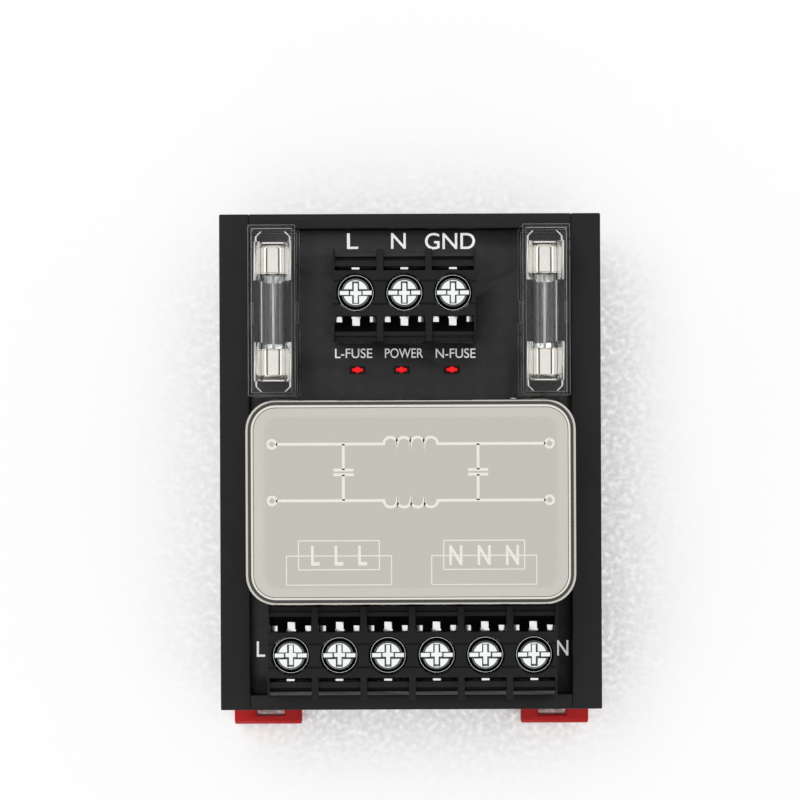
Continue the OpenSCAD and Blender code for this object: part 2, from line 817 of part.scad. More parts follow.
// Everything cut out of one terminal's cell
module cell_cuts() {
    half = cell_open / 2;
    above = block_height + cut;
    block([-half, -cut, block_height - ledge_drop], [half, inner_ledge, above]);
    block([-half, inner_ledge - cut, block_height - bar_drop], [half, window_start + cut, above]);
    block([-half, window_start, block_floor], [half, deck_start, above]);
    block([-half, window_start, block_floor], [half, window_end, chamber_top]);
    block([-half, deck_end, block_floor], [half, window_end, above]);
    block([-half, front_face, -cut], [half, block_depth + cut, above]);
    // above the outer bar, the groove and the slope to the front
    translate([-half, 0, 0]) rotate([90, 0, 90]) linear_extrude(cell_open)
        polygon([
            [window_end - cut / 2, above], [window_end - cut / 2, block_height - bar_drop],
            [bar_end, block_height - bar_drop], [bar_end, block_height - slope_drop],
            [groove_end, block_height - slope_drop], [groove_end, block_height - ridge_drop],
            [front_face, block_height - slope_drop],
            [front_face + cut, block_height - slope_drop], [front_face + cut, above]
        ]);
    block([-wire_mouth / 2, window_end - cut, contact_top - mouth_drop],
          [wire_mouth / 2, block_depth + cut, clamp_top]);
    translate([0, screw_y, chamber_top - cut])
        cylinder(d = screw_hole, h = deck_thick + 2 * cut);
    translate([0, pin_y, -cut]) cylinder(d = pin_size + hole_play, h = block_floor + 2 * cut);
}

module terminal_body(cells) {
    length = block_length(cells);
    color("#262626") difference() {
        block([-length / 2, 0, 0], [length / 2, block_depth, block_height]);
        at_cells(cells) cell_cuts();
        // moulding seams across the deck
        for (y = [screw_y - seam_y, screw_y + seam_y])
            block([-length / 2 - cut, y - seam_width / 2, block_height - seam_width],
                  [length / 2 + cut, y + seam_width / 2, block_height + cut]);
    }
}

// Current bar with its threaded block and the pin that enters the board
module terminal_contacts(cells) {
    color("#c2b280") at_cells(cells) difference() {
        union() {
            block([-contact_width / 2, contact_start, block_floor],
                  [contact_width / 2, deck_end, block_floor + contact_strip]);
            block([-contact_width / 2, screw_y - contact_width / 2, block_floor],
                  [contact_width / 2, screw_y + contact_width / 2, contact_top]);
            translate([0, pin_y, pin_bottom])
                cylinder(d = pin_size, h = block_floor - pin_bottom + contact_strip / 2);
        }
        translate([0, screw_y, thread_end - 0.1])
            cylinder(d = screw_thread + thread_play, h = contact_top);
    }
}

// Finger of a clamping plate, seen from above, from its tip into the plate
module clamp_finger(x, width, tip) {
    translate([x - width / 2, tip]) square([width, clamp_start + cut - tip]);
}

// Clamping plate under each screw head: one long finger, two side fingers, an upright tab
module terminal_clamps(cells) {
    side_x = cell_open / 2 - finger_play - side_finger / 2;
    clamp_under = clamp_top - clamp_thick;
    color("#d8d8d6") at_cells(cells) {
        translate([0, 0, clamp_under])
            linear_extrude(clamp_thick) difference() {
                union() {
                    translate([-clamp_width / 2, clamp_start])
                        square([clamp_width, clamp_end - clamp_start]);
                    clamp_finger(0, finger_width, long_finger_tip);
                    clamp_finger(0, finger_root, root_start);
                    clamp_finger(-side_x, side_finger, side_finger_tip);
                    clamp_finger(side_x, side_finger, side_finger_tip);
                }
                translate([0, screw_y]) circle(d = screw_thread + hole_play);
            }
        block([-finger_width / 2, clamp_end - cut / 2, clamp_under],
              [finger_width / 2, tab_end, clamp_top]);
        block([-finger_width / 2, tab_start, clamp_under], [finger_width / 2, tab_end, tab_top]);
    }
}

// Pan head with a flange, a slot and a deeper cross, on a threaded shank
module terminal_screws(cells) {
    shoulder = (screw_head - head_flat) / 2 - head_rim;
    slot_end = screw_head / 2 - head_rim - 0.1;
    color("#dcdcda") at_cells(cells) translate([0, screw_y, 0]) difference() {
        rotate_extrude() polygon([
            [0, thread_end], [screw_thread / 2 - 0.3, thread_end],
            [screw_thread / 2, thread_end + 0.3], [screw_thread / 2, clamp_top],
            [screw_head / 2, clamp_top], [screw_head / 2, head_top - head_drop - head_edge],
            [screw_head / 2 - head_edge, head_top - head_drop],
            for (turn = [0:15:90])
                [head_flat / 2 + shoulder * cos(turn), head_top - head_drop * (1 - sin(turn))],
            [0, head_top]
        ]);
        block([-slot_end, -screw_slot / 2, head_top - slot_depth],
              [slot_end, screw_slot / 2, head_top + cut]);
        block([-cross_reach, -screw_slot / 2, head_top - cross_depth],
              [cross_reach, screw_slot / 2, head_top + cut]);
        block([-screw_slot / 2, -head_flat / 2, head_top - cross_depth],
              [screw_slot / 2, head_flat / 2, head_top + cut]);
    }
}

// ---- Fuses ----

// Children at one fuse: origin on the board under the middle of the fuse
module at_fuse(side) {
    translate([fuse_place(side), fuse_y, board_z]) children();
}

// Bent section of a clip: base, two springs that hug the cap, and lead-in flares
module clip_section() {
    inner = cap_size / 2;
    outer = inner + clip_strip;
    tip_x = sqrt(pow(outer, 2) - pow(clip_spring, 2));
    translate([-clip_inner_x - clip_strip, 0]) square([2 * (clip_inner_x + clip_strip), clip_strip]);
    for (side = [-1, 1]) mirror([side < 0 ? 1 : 0, 0]) {
        translate([clip_inner_x, 0]) square([clip_strip, fuse_height - clip_spring]);
        intersection() {
            translate([0, fuse_height]) difference() {
                circle(r = outer);
                circle(r = inner);
            }
            translate([0, fuse_height - clip_spring])
                square([outer + cut, 2 * clip_spring]);
        }
        translate([0, fuse_height]) polygon([
            [clip_inner_x, clip_spring], [tip_x, clip_spring],
            [inner + 0.45, clip_spring + 0.9], [inner + 0.2, clip_spring + 1.05]
        ]);
    }
}

// One clip at the positive end of the fuse, with its end stop and inward tips
module fuse_clip() {
    stop_width = cap_size * 0.7;
    tip_height = 1.2;
    tip_root = 0.5;
    spring_x = cap_size / 2;
    inner_end = clip_outer - clip_length;
    tip_y = clip_outer + tip_length;
    bend_y = tip_y - tip_bend;
    translate([0, inner_end, 0]) rotate([90, 0, 180]) mirror([1, 0, 0])
        linear_extrude(clip_length) clip_section();
    block([-stop_width / 2, clip_outer - clip_strip, 0],
          [stop_width / 2, clip_outer, fuse_height + 1]);
    for (side = [-1, 1]) mirror([side < 0 ? 1 : 0, 0, 0])
        translate([0, 0, fuse_height - tip_height]) linear_extrude(2 * tip_height)
            polygon([
                [spring_x, clip_outer - tip_root], [spring_x + clip_strip, clip_outer - tip_root],
                [spring_x + clip_strip, bend_y], [spring_x + clip_strip - tip_bend, tip_y],
                [spring_x - tip_bend, tip_y], [spring_x, bend_y]
            ]);
    for (leg = [-1, 1])
        translate([leg * clip_leg_x, clip_leg_y, pin_bottom])
            linear_extrude(-pin_bottom) square([clip_strip, clip_leg], center = true);
}

module fuse_clips(side) {
    color("#b9bab8") at_fuse(side)
        for (end = [0, 1]) mirror([0, end, 0]) fuse_clip();
}

// Children laid along the fuse axis, with the origin at the middle of the fuse
module on_fuse_axis(side) {
    at_fuse(side) translate([0, 0, fuse_height]) rotate([90, 0, 0]) children();
}

module fuse_caps(side) {
    edge = 0.4;
    color("#d6d5cf") on_fuse_axis(side)
        for (end = [0, 1]) mirror([0, 0, end])
            translate([0, 0, fuse_length / 2 - cap_length]) difference() {
                rotate_extrude() edge_section(cap_size / 2, cap_length, edge);
                translate([0, 0, -cut])
                    cylinder(d = glass_size, h = cap_length - cap_end + cut);
            }
}

module fuse_glass(side) {
    color("#c4d0d4", 0.4) on_fuse_axis(side) difference() {
        length = fuse_length - 2 * cap_end;
        cylinder(d = glass_size, h = length, center = true);
        cylinder(d = glass_size - 2 * glass_wall, h = length + 2 * cut, center = true);
    }
}

module fuse_element(side) {
    color("#e4e6e6") on_fuse_axis(side)
        cylinder(d = element_size, h = fuse_length - 2 * cap_end, center = true);
}

// Hood with upright ends and long sides that lean inwards
module hood(length, width, height) {
    rotate([90, 0, 0]) linear_extrude(length, center = true)
        polygon([[-width / 2, 0], [width / 2, 0],
                 [(width - cover_draft) / 2, height], [-(width - cover_draft) / 2, height]]);
}

// Clear cover that snaps over the clips, with a grip notch in each long wall
module fuse_cover(side) {
    notch_width = 3.2;
    notch_height = 2.6;
    color("#dfe6e8", 0.35) at_fuse(side) difference() {
        hood(cover_length, cover_width, cover_height);
        translate([0, 0, -cover_wall])
            hood(cover_length - 2 * cover_wall, cover_width - 2 * cover_wall, cover_height);
        block([-cover_width, -notch_width / 2, -cut],
              [cover_width, notch_width / 2, notch_height]);
    }
}

// ---- Indicators ----

// Flat body with two wings and a round middle for a lens
module indicators() {
    body_height = led_height / 3;
    wing_width = lens_size / 2;
    led_y = input_inner_y - led_gap;
    color("#d8161c") on_board()
        for (x = [-led_pitch, led_shift, led_pitch])
            translate([input_shift + x, led_y, 0]) {
                linear_extrude(body_height) square([led_length, led_width], center = true);
                linear_extrude(led_height) {
                    square([lens_length, wing_width], center = true);
                    circle(d = lens_size);
                }
            }
}

carrier_profile();
side_plate(-1);  // side_plate_left
side_plate(1);  // side_plate_right
rail_latch(-1);  // rail_latch_left
rail_latch(1);  // rail_latch_right
circuit_board();
solder_joints();
filter_can();
filter_base();
filter_pins();
casting_resin();
choke_core();
choke_winding(90);  // choke_winding_line
choke_winding(-90);  // choke_winding_neutral
mains_capacitor(-1);  // mains_capacitor_input
mains_capacitor(1);  // mains_capacitor_output
earth_capacitors();
input_block() terminal_body(input_cells);  // input_terminal_body
input_block() terminal_contacts(input_cells);  // input_terminal_contacts
input_block() terminal_clamps(input_cells);  // input_terminal_clamps
input_block() terminal_screws(input_cells);  // input_terminal_screws
output_block() terminal_body(output_cells);  // output_terminal_body
output_block() terminal_contacts(output_cells);  // output_terminal_contacts
output_block() terminal_clamps(output_cells);  // output_terminal_clamps
output_block() terminal_screws(output_cells);  // output_terminal_screws
fuse_clips(-1);  // fuse_clips_left
fuse_caps(-1);  // fuse_caps_left
fuse_glass(-1);  // fuse_glass_left
fuse_element(-1);  // fuse_element_left
fuse_cover(-1);  // fuse_cover_left
fuse_clips(1);  // fuse_clips_right
fuse_caps(1);  // fuse_caps_right
fuse_glass(1);  // fuse_glass_right
fuse_element(1);  // fuse_element_right
fuse_cover(1);  // fuse_cover_right
indicators();
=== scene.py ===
"""Fused mains line filter on a rail carrier: its finished surfaces, print, floor, light and camera.

Lengths in the dataclass fields are millimetres; MM turns them into Blender's metres.
"""

from __future__ import annotations

import json
import logging
from dataclasses import dataclass
from enum import Enum

import bmesh
import bpy
import numpy as np
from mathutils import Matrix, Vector

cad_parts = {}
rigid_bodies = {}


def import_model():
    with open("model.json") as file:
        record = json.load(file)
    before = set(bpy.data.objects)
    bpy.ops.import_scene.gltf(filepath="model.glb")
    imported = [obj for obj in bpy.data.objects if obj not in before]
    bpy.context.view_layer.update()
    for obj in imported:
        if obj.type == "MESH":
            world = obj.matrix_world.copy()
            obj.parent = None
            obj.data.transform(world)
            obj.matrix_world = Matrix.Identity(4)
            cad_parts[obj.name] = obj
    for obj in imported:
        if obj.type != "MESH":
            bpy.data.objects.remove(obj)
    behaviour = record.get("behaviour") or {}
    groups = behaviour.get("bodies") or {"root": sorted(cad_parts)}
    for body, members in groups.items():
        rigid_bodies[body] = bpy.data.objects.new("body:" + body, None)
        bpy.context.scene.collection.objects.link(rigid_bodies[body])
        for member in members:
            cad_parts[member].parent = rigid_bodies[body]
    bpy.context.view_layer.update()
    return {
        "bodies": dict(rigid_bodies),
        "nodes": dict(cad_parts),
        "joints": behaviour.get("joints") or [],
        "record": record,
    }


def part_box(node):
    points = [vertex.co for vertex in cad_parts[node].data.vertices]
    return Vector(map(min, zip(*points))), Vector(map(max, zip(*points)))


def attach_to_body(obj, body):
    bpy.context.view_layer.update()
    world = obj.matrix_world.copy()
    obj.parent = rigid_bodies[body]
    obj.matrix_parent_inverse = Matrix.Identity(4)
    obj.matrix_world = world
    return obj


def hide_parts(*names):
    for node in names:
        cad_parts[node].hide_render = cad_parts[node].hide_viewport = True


MM = 0.001
NOISE_SPAN = {"From Min": 0.3, "From Max": 0.7}  # where nearly all values of a noise lie
WAVE_RATE = 20  # radians that a wave texture runs through in one unit of its scale
SHARP = np.radians(35)  # an edge between faces that turn by more than this stays sharp
LOG = logging.getLogger("line_filter")

Material = bpy.types.Material
Node = bpy.types.Node
Piece = bpy.types.Object
Socket = bpy.types.NodeSocket
Tree = bpy.types.NodeTree
Part = tuple[np.ndarray, list]


class Side(Enum):
    """Which end of the module a paired piece belongs to."""

    LEFT = "left"
    RIGHT = "right"


class Body(Enum):
    """The bodies that pieces ride on."""

    MODULE = "module"
    LATCH_LEFT = "latch_left"
    LATCH_RIGHT = "latch_right"


# ---- Colour and nodes ----


def linear(hex_colour: str, share: float = 1.0) -> tuple[float, float, float, float]:
    """Turn an sRGB hex colour into linear light.

    Args:
        hex_colour: Six hex digits with a leading hash.
        share: Factor on the light, for a darker or a paler shade.

    Returns:
        Red, green, blue and an alpha of 1.
    """
    value = np.array([int(hex_colour[i : i + 2], 16) for i in (1, 3, 5)]) / 255
    light = np.where(value <= 0.04045, value / 12.92, ((value + 0.055) / 1.055) ** 2.4)
    return (*(light * share).tolist(), 1.0)


def feed(tree: Tree, node: Node, sockets: dict) -> None:
    """Fill or link a node's inputs.

    Args:
        tree: Node tree that holds the node.
        node: Node whose inputs are fed.
        sockets: Input name or number to a value, to an output that feeds it, or to a node
            whose first output feeds it.
    """
    for name, value in sockets.items():
        source = value.outputs[0] if isinstance(value, Node) else value
        if isinstance(source, Socket):
            tree.links.new(source, node.inputs[name])
        else:
            node.inputs[name].default_value = source


def add_node(tree: Tree, kind: str, sockets: dict, stops: tuple = (), **settings: object) -> Node:
    """Add a shader node, set its properties and feed its inputs.

    Args:
        tree: Node tree that takes the node.
        kind: Blender's name of the node type, after ShaderNode.
        sockets: What feeds each input, by name or number.
        stops: Position and linear colour of each stop, in order, where the node has them.
        **settings: Properties of the node itself.

    Returns:
        The new node.
    """
    node = tree.nodes.new(f"ShaderNode{kind}")
    for name, value in settings.items():
        setattr(node, name, value)
    feed(tree, node, sockets)
    if stops:
        elements = node.color_ramp.elements
        while len(elements) < len(stops):
            elements.new(1.0)
        for element, (position, colour) in zip(elements, stops):
            element.position = position
            element.color = colour
    return node


def pattern(place: Socket, size: float, **sockets: float) -> dict:
    """Lay a texture's pattern at its real size.

    Args:
        place: Coordinates of the shaded point.
        size: Size of the pattern's cell in millimetres.
        **sockets: The texture's other inputs.

    Returns:
        What feeds the texture's inputs.
    """
    return {"Vector": place, "Scale": 1 / (size * MM), **sockets}


def new_material(name: str) -> tuple[Material, Tree, Node, Socket]:
    """Start a node material with a Principled shader.

    Args:
        name: Name of the material.

    Returns:
        The material, its node tree, its Principled node and the Object coordinates.
    """
    material = bpy.data.materials.new(name)
    material.use_nodes = True
    tree = material.node_tree
    place = add_node(tree, "TexCoord", {}).outputs["Object"]
    return material, tree, tree.nodes["Principled BSDF"], place


# ---- Finishes ----


@dataclass(frozen=True)
class Finish:
    """What every finish has: the name of the real material and its colour."""

    name: str
    colour: str

    def shades(self, dark: float, light: float, low: float = 0.3, high: float = 0.7) -> tuple:
        """Set two shades of the colour against a pattern.

        Args:
            dark: Share of the colour's light at the pattern's low end.
            light: Share of the colour's light at its high end.
            low: Value of the pattern below which the shade is dark.
            high: Value of the pattern above which it is light.

        Returns:
            The stops of a ramp.
        """
        return (low, linear(self.colour, dark)), (high, linear(self.colour, light))


@dataclass(frozen=True)
class MouldedPlastic(Finish):
    """Injection-moulded thermoplastic from a spark-eroded tool.

    Gives the eye a slightly mottled colour with a fine matt grain, drawn a little coarser
    than the tool's so that it shows.
    """

    roughness: float = 0.5
    gleam: float = 0.2
    grain: float = 0.18
    grain_depth: float = 0.006
    mottle: float = 0.1
    mottle_grains: float = 30

    def build(self) -> Material:
        """Wire two noises, one for the grain and one for the mottling.

        Returns:
            The material.
        """
        material, tree, shader, place = new_material(self.name)
        grain = add_node(tree, "TexNoise", pattern(place, self.grain, Detail=3.0, Roughness=0.6))
        patch = self.mottle_grains * self.grain
        cloud = add_node(tree, "TexNoise", pattern(place, patch, Detail=4.0, Roughness=0.55))
        gloss = add_node(
            tree, "MapRange",
            {"Value": grain, **NOISE_SPAN, "To Min": self.roughness - 0.06, "To Max": self.roughness + 0.08},
        )
        bump = add_node(tree, "Bump", {"Height": grain, "Strength": 0.5, "Distance": self.grain_depth * MM})
        tint = add_node(tree, "ValToRGB", {"Fac": cloud}, self.shades(1 - self.mottle, 1 + self.mottle))
        feed(tree, shader, {
            "Base Color": tint,
            "Roughness": gloss, "Normal": bump, "Specular IOR Level": self.gleam,
        })
        return material


@dataclass(frozen=True)
class ExtrudedPlastic(Finish):
    """Extruded rigid PVC.

    Gives the eye a satin face with faint die lines that run along the profile, in X.
    """

    roughness: float = 0.45
    gleam: float = 0.2
    line: float = 0.35
    line_depth: float = 0.01
    line_stretch: float = 100
    grain: float = 0.15
    grain_depth: float = 0.004

    def build(self) -> Material:
        """Wire a noise stretched along X for the die lines, over a fine grain.

        Returns:
            The material.
        """
        material, tree, shader, place = new_material(self.name)
        drawn = add_node(tree, "Mapping", {"Vector": place, "Scale": (1 / self.line_stretch, 1.0, 1.0)})
        lines = add_node(tree, "TexNoise", pattern(drawn, self.line, Detail=3.0))
        grain = add_node(tree, "TexNoise", pattern(place, self.grain, Detail=2.0))
        line_bump = add_node(
            tree, "Bump", {"Height": lines, "Strength": 0.5, "Distance": self.line_depth * MM}
        )
        bump = add_node(
            tree, "Bump",
            {"Height": grain, "Strength": 0.4, "Distance": self.grain_depth * MM, "Normal": line_bump},
        )
        tint = add_node(tree, "ValToRGB", {"Fac": lines}, self.shades(dark=0.88, light=1.12))
        feed(tree, shader, {
            "Base Color": tint, "Roughness": self.roughness,
            "Normal": bump, "Specular IOR Level": self.gleam,
        })
        return material


@dataclass(frozen=True)
class SolderMask(Finish):
    """Black solder mask over glass-fibre laminate.

    Gives the eye a dark, half-gloss board with a faint weave and soft-edged raised tracks.
    """

    roughness: float = 0.42
    gleam: float = 0.3
    thread: float = 0.5
    thread_depth: float = 0.01
    track: float = 3.2
    track_depth: float = 0.03

    def build(self) -> Material:
        """Wire crossed waves for the weave and a blocky cell pattern for the tracks.

        Returns:
            The material.
        """
        material, tree, shader, place = new_material(self.name)
        weave = pattern(place, WAVE_RATE * self.thread, Distortion=0.4)
        warp, weft = (
            add_node(tree, "TexWave", weave, bands_direction=axis).outputs["Fac"] for axis in ("X", "Y")
        )
        cloth = add_node(tree, "Math", {0: warp, 1: weft}, operation="MULTIPLY")
        tracks = add_node(
            tree, "TexVoronoi", pattern(place, self.track, Randomness=0.55), distance="CHEBYCHEV"
        )
        raised = add_node(tree, "ValToRGB", {"Fac": tracks}, ((0.42, (1, 1, 1, 1)), (0.47, (0, 0, 0, 1))))
        track_bump = add_node(
            tree, "Bump", {"Height": raised, "Strength": 0.35, "Distance": self.track_depth * MM}
        )
        bump = add_node(
            tree, "Bump",
            {"Height": cloth, "Strength": 0.25, "Distance": self.thread_depth * MM, "Normal": track_bump},
        )
        shades = self.shades(dark=0.92, light=1.12, low=0.0, high=1.0)
        tint = add_node(tree, "ValToRGB", {"Fac": cloth}, shades)
        feed(tree, shader, {
            "Base Color": tint, "Roughness": self.roughness,
            "Specular IOR Level": self.gleam, "Normal": bump,
        })
        return material


@dataclass(frozen=True)
class PlatedMetal(Finish):
    """Nickel, tin or zinc plating on steel or brass.

    Gives the eye a bright metal with a faint haze and fine handling marks.
    """

    roughness: float = 0.16
    haze: float = 0.08
    metallic: float = 1.0
    patch: float = 4
    mark: float = 0.5
    mark_depth: float = 0.004

    def build(self) -> Material:
        """Wire one noise that varies the polish and another that ripples the plating.

        Returns:
            The material.
        """
        material, tree, shader, place = new_material(self.name)
        polish, ripple = (
            add_node(tree, "TexNoise", pattern(place, size, Detail=detail))
            for size, detail in ((self.patch, 5.0), (self.mark, 2.0))
        )
        gloss = add_node(
            tree, "MapRange",
            {"Value": polish, "From Min": 0.35, "From Max": 0.65,
             "To Min": self.roughness, "To Max": self.roughness + self.haze},
        )
        bump = add_node(tree, "Bump", {"Height": ripple, "Strength": 0.4, "Distance": self.mark_depth * MM})
        shades = self.shades(dark=0.95, light=1.0, low=0.35, high=0.65)
        tint = add_node(tree, "ValToRGB", {"Fac": polish}, shades)
        feed(tree, shader, {
            "Base Color": tint, "Metallic": self.metallic,
            "Roughness": gloss, "Normal": bump,
        })
        return material


@dataclass(frozen=True)
class DrawnCan(Finish):
    """Deep-drawn nickel-plated steel sheet.

    Gives the eye a warm satin top and a nearly mirror-bright rolled edge; the piece's
    "bright" attribute says where the drawing die has polished the sheet.
    """

    satin: float = 0.42
    bright: float = 0.1
    grain: float = 0.22
    grain_depth: float = 0.006
    cloud: float = 14

    def build(self) -> Material:
        """Wire the attribute to blend two roughnesses under a fine grain.

        Returns:
            The material.
        """
        material, tree, shader, place = new_material(self.name)
        polished = add_node(tree, "Attribute", {}, attribute_name="bright").outputs["Fac"]
        grain, cloud = (
            add_node(tree, "TexNoise", pattern(place, size, Detail=detail))
            for size, detail in ((self.grain, 2.0), (self.cloud, 3.0))
        )
        satin = add_node(
            tree, "MapRange",
            {"Value": cloud, **NOISE_SPAN, "To Min": self.satin - 0.03, "To Max": self.satin + 0.04},
        )
        rough = add_node(tree, "MapRange", {"Value": polished, "To Min": satin, "To Max": self.bright})
        depth = add_node(tree, "MapRange", {"Value": polished, "To Min": 0.35, "To Max": 0.03})
        bump = add_node(
            tree, "Bump", {"Height": grain, "Strength": depth, "Distance": self.grain_depth * MM}
        )
        tint = add_node(tree, "ValToRGB", {"Fac": cloud}, self.shades(dark=0.98, light=1.02))
        feed(tree, shader, {"Base Color": tint, "Metallic": 1.0, "Roughness": rough, "Normal": bump})
        return material


@dataclass(frozen=True)
class ClearGlass(Finish):
    """Drawn glass tube.

    Gives the eye a see-through wall with bright edges and a trace of draw lines.
    """

    ior: float = 1.52
    gleam: float = 0.1
    roughness: float = 0.01
    wave: float = 3
    wave_depth: float = 0.003

    def build(self) -> Material:
        """Wire full transmission with a slow waviness in gloss and surface.

        Returns:
            The material.
        """
        material, tree, shader, place = new_material(self.name)
        flow = add_node(tree, "TexNoise", pattern(place, self.wave, Detail=2.0))
        gloss = add_node(
            tree, "MapRange", {"Value": flow, "To Min": 0.5 * self.roughness, "To Max": 1.5 * self.roughness}
        )
        bump = add_node(tree, "Bump", {"Height": flow, "Strength": 0.3, "Distance": self.wave_depth * MM})
        feed(tree, shader, {
            "Base Color": linear(self.colour), "Transmission Weight": 1.0, "IOR": self.ior,
            "Specular IOR Level": self.gleam, "Roughness": gloss, "Normal": bump,
        })
        return material


@dataclass(frozen=True)
class ClearPlastic(Finish):
    """Moulded polycarbonate: a thin flat wall, or the edge of one.

    Gives the eye a faint grey veil over a wall, and thin pale lines along the edges: there a
    paler, less clear copy is painted highlight that stands for the light that runs inside the
    wall.
    """

    ior: float = 1.58
    veil: float = 0.05
    clearness: float = 0.0
    flow: float = 5
    detail: float = 2.0
    cloud: tuple[float, float, float] = (0.8, 0.3, 0.7)
    gloss: tuple[float, float] = (0.02, 0.12)

    def build(self) -> Material:
        """Wire one noise of flow marks to the shade and the gloss.

        Returns:
            The material.
        """
        material, tree, shader, place = new_material(self.name)
        flow = add_node(tree, "TexNoise", pattern(place, self.flow, Detail=self.detail))
        gloss = add_node(tree, "MapRange", {"Value": flow, "To Min": self.gloss[0], "To Max": self.gloss[1]})
        dark, low, high = self.cloud
        tint = add_node(tree, "ValToRGB", {"Fac": flow}, self.shades(dark, 1.0, low, high))
        feed(tree, shader, {
            "Base Color": tint, "Roughness": gloss,
            "IOR": self.ior, "Alpha": self.veil, "Transmission Weight": self.clearness,
        })
        return material


@dataclass(frozen=True)
class PigmentedEpoxy(Finish):
    """Epoxy with pigment: printed through a mesh as ink, or cast as a lamp's lens.

    Gives the eye a slightly uneven opaque colour, lifted by an even glow: on the ink it is
    painted light that lifts the print out of the shade around it, in the lens the light of
    the lamp inside.
    """

    roughness: float = 0.6
    gleam: float = 0.5
    glow: float = 0.0
    blot: float = 0.25
    detail: float = 3.0
    cloud: tuple[float, float, float] = (0.9, 0.35, 0.6)

    def build(self) -> Material:
        """Wire one noise that thins the colour, and an even glow.

        Returns:
            The material.
        """
        material, tree, shader, place = new_material(self.name)
        blots = add_node(tree, "TexNoise", pattern(place, self.blot, Detail=self.detail))
        dark, low, high = self.cloud
        tint = add_node(tree, "ValToRGB", {"Fac": blots}, self.shades(dark, 1.0, low, high))
        feed(tree, shader, {
            "Base Color": tint, "Roughness": self.roughness,
            "Specular IOR Level": self.gleam, "IOR": 1.5,
            "Emission Color": linear(self.colour), "Emission Strength": self.glow,
        })
        return material


# ---- Surfaces ----


def grid_faces(rows: int, columns: int) -> list[list[int]]:
    """Number the quads of a grid whose points run row by row; the last column joins the first.

    Args:
        rows: Rings of points.
        columns: Points in each ring.

    Returns:
        Vertex numbers, four to a face.
    """
    low = np.arange(rows - 1)[:, None] * columns
    column = np.arange(columns)
    after = (column + 1) % columns
    high = low + columns
    quads = np.stack([low + column, low + after, high + after, high + column], axis=-1)
    return quads.reshape(-1, 4).tolist()


def link_object(name: str, data: bpy.types.ID) -> Piece:
    """Put a mesh, curve, lamp or camera into the scene.

    Args:
        name: Name of the object.
        data: What it holds.

    Returns:
        The object, at the origin.
    """
    holder = bpy.data.objects.new(name, data)
    bpy.context.scene.collection.objects.link(holder)
    return holder


def mesh_piece(name: str, points: np.ndarray, faces: list) -> Piece:
    """Make a mesh object in place, smooth but for its sharp edges.

    Args:
        name: Name of the piece.
        points: Vertex places in millimetres, three to a row.
        faces: Vertex numbers of each face.

    Returns:
        The new object, at the origin.
    """
    mesh = bpy.data.meshes.new(name)
    mesh.from_pydata((points * MM).tolist(), [], faces)
    mesh.validate()
    mesh.shade_smooth()
    mesh.set_sharp_from_angle(angle=SHARP)
    return link_object(name, mesh)


def join_parts(parts: list[Part]) -> Part:
    """Put several point and face sets into one, with the face numbers moved along.

    Args:
        parts: Points and faces of each part.

    Returns:
        All points, and all faces with their new numbers.
    """
    starts = np.cumsum([0] + [len(points) for points, _ in parts])
    faces = [[v + int(start) for v in face] for (_, part), start in zip(parts, starts) for face in part]
    return np.vstack([points for points, _ in parts]), faces


def revolve(profile: np.ndarray, segments: int = 48) -> Part:
    """Turn a closed profile round Z; every point keeps its radius and height.

    Args:
        profile: Radius and height of each point, outwards-facing when it runs upwards.
        segments: Steps round the axis.

    Returns:
        Points and quads of the ring, whose last row joins its first.
    """
    loop = np.vstack([profile, profile[:1]])
    turn = np.linspace(0, 2 * np.pi, segments, endpoint=False)
    radius, height = loop[:, :1], loop[:, 1:]
    points = np.stack(
        [radius * np.cos(turn), radius * np.sin(turn), np.broadcast_to(height, (len(loop), segments))],
        axis=-1,
    ).reshape(-1, 3)
    return points, grid_faces(len(loop), segments)


def rounded_loop(half_x: float, half_y: float, corner: float, steps: int = 10) -> np.ndarray:
    """Walk once round a rectangle with round corners, anticlockwise.

    Each corner is a quarter circle about a centre that stands one radius in from both sides.

    Args:
        half_x: Half the length.
        half_y: Half the width.
        corner: Radius of the corners.
        steps: Points in each corner.

    Returns:
        X and Y of each point.
    """
    quarter = np.linspace(0, np.pi / 2, steps)
    turn = np.concatenate([quarter + k * np.pi / 2 for k in range(4)])
    sign_x = np.repeat([1, -1, -1, 1], steps)
    sign_y = np.repeat([1, 1, -1, -1], steps)
    return np.stack(
        [sign_x * (half_x - corner) + corner * np.cos(turn),
         sign_y * (half_y - corner) + corner * np.sin(turn)],
        axis=-1,
    )


def ribbon(path: np.ndarray, width: float, low: float, high: float, closed: bool = False) -> Part:
    """Carry a flat rectangular section along a path in a level plane, mitred at its corners.

    At each point the section lies across the mean of the two directions that meet there, and
    is widened by one over the cosine of half the turn.

    Args:
        path: X and Y of each point.
        width: Width of the line.
        low: Height of its underside.
        high: Height of its top.
        closed: Whether the path joins up.

    Returns:
        Points and faces of the closed strip.
    """
    step = np.roll(path, -1, axis=0) - path
    step /= np.linalg.norm(step, axis=1, keepdims=True)
    before = np.roll(step, 1, axis=0)
    if not closed:
        step[-1], before[0] = before[-1], step[0]
    normal = np.stack([-step[:, 1], step[:, 0]], axis=-1)
    normal_before = np.stack([-before[:, 1], before[:, 0]], axis=-1)
    mitre = normal + normal_before
    mitre /= np.linalg.norm(mitre, axis=1, keepdims=True)
    reach = width / 2 / np.sum(mitre * normal, axis=1, keepdims=True)
    left, right = path + mitre * reach, path - mitre * reach
    section = [(left, low), (left, high), (right, high), (right, low)]
    rings = np.stack(
        [np.column_stack([side, np.full(len(path), height)]) for side, height in section], axis=1
    )
    if closed:
        rings = np.concatenate([rings, rings[:1]])
    faces = grid_faces(len(rings), 4)
    if not closed:
        last = 4 * (len(rings) - 1)
        faces += [[3, 2, 1, 0], [last, last + 1, last + 2, last + 3]]
    return rings.reshape(-1, 3), faces


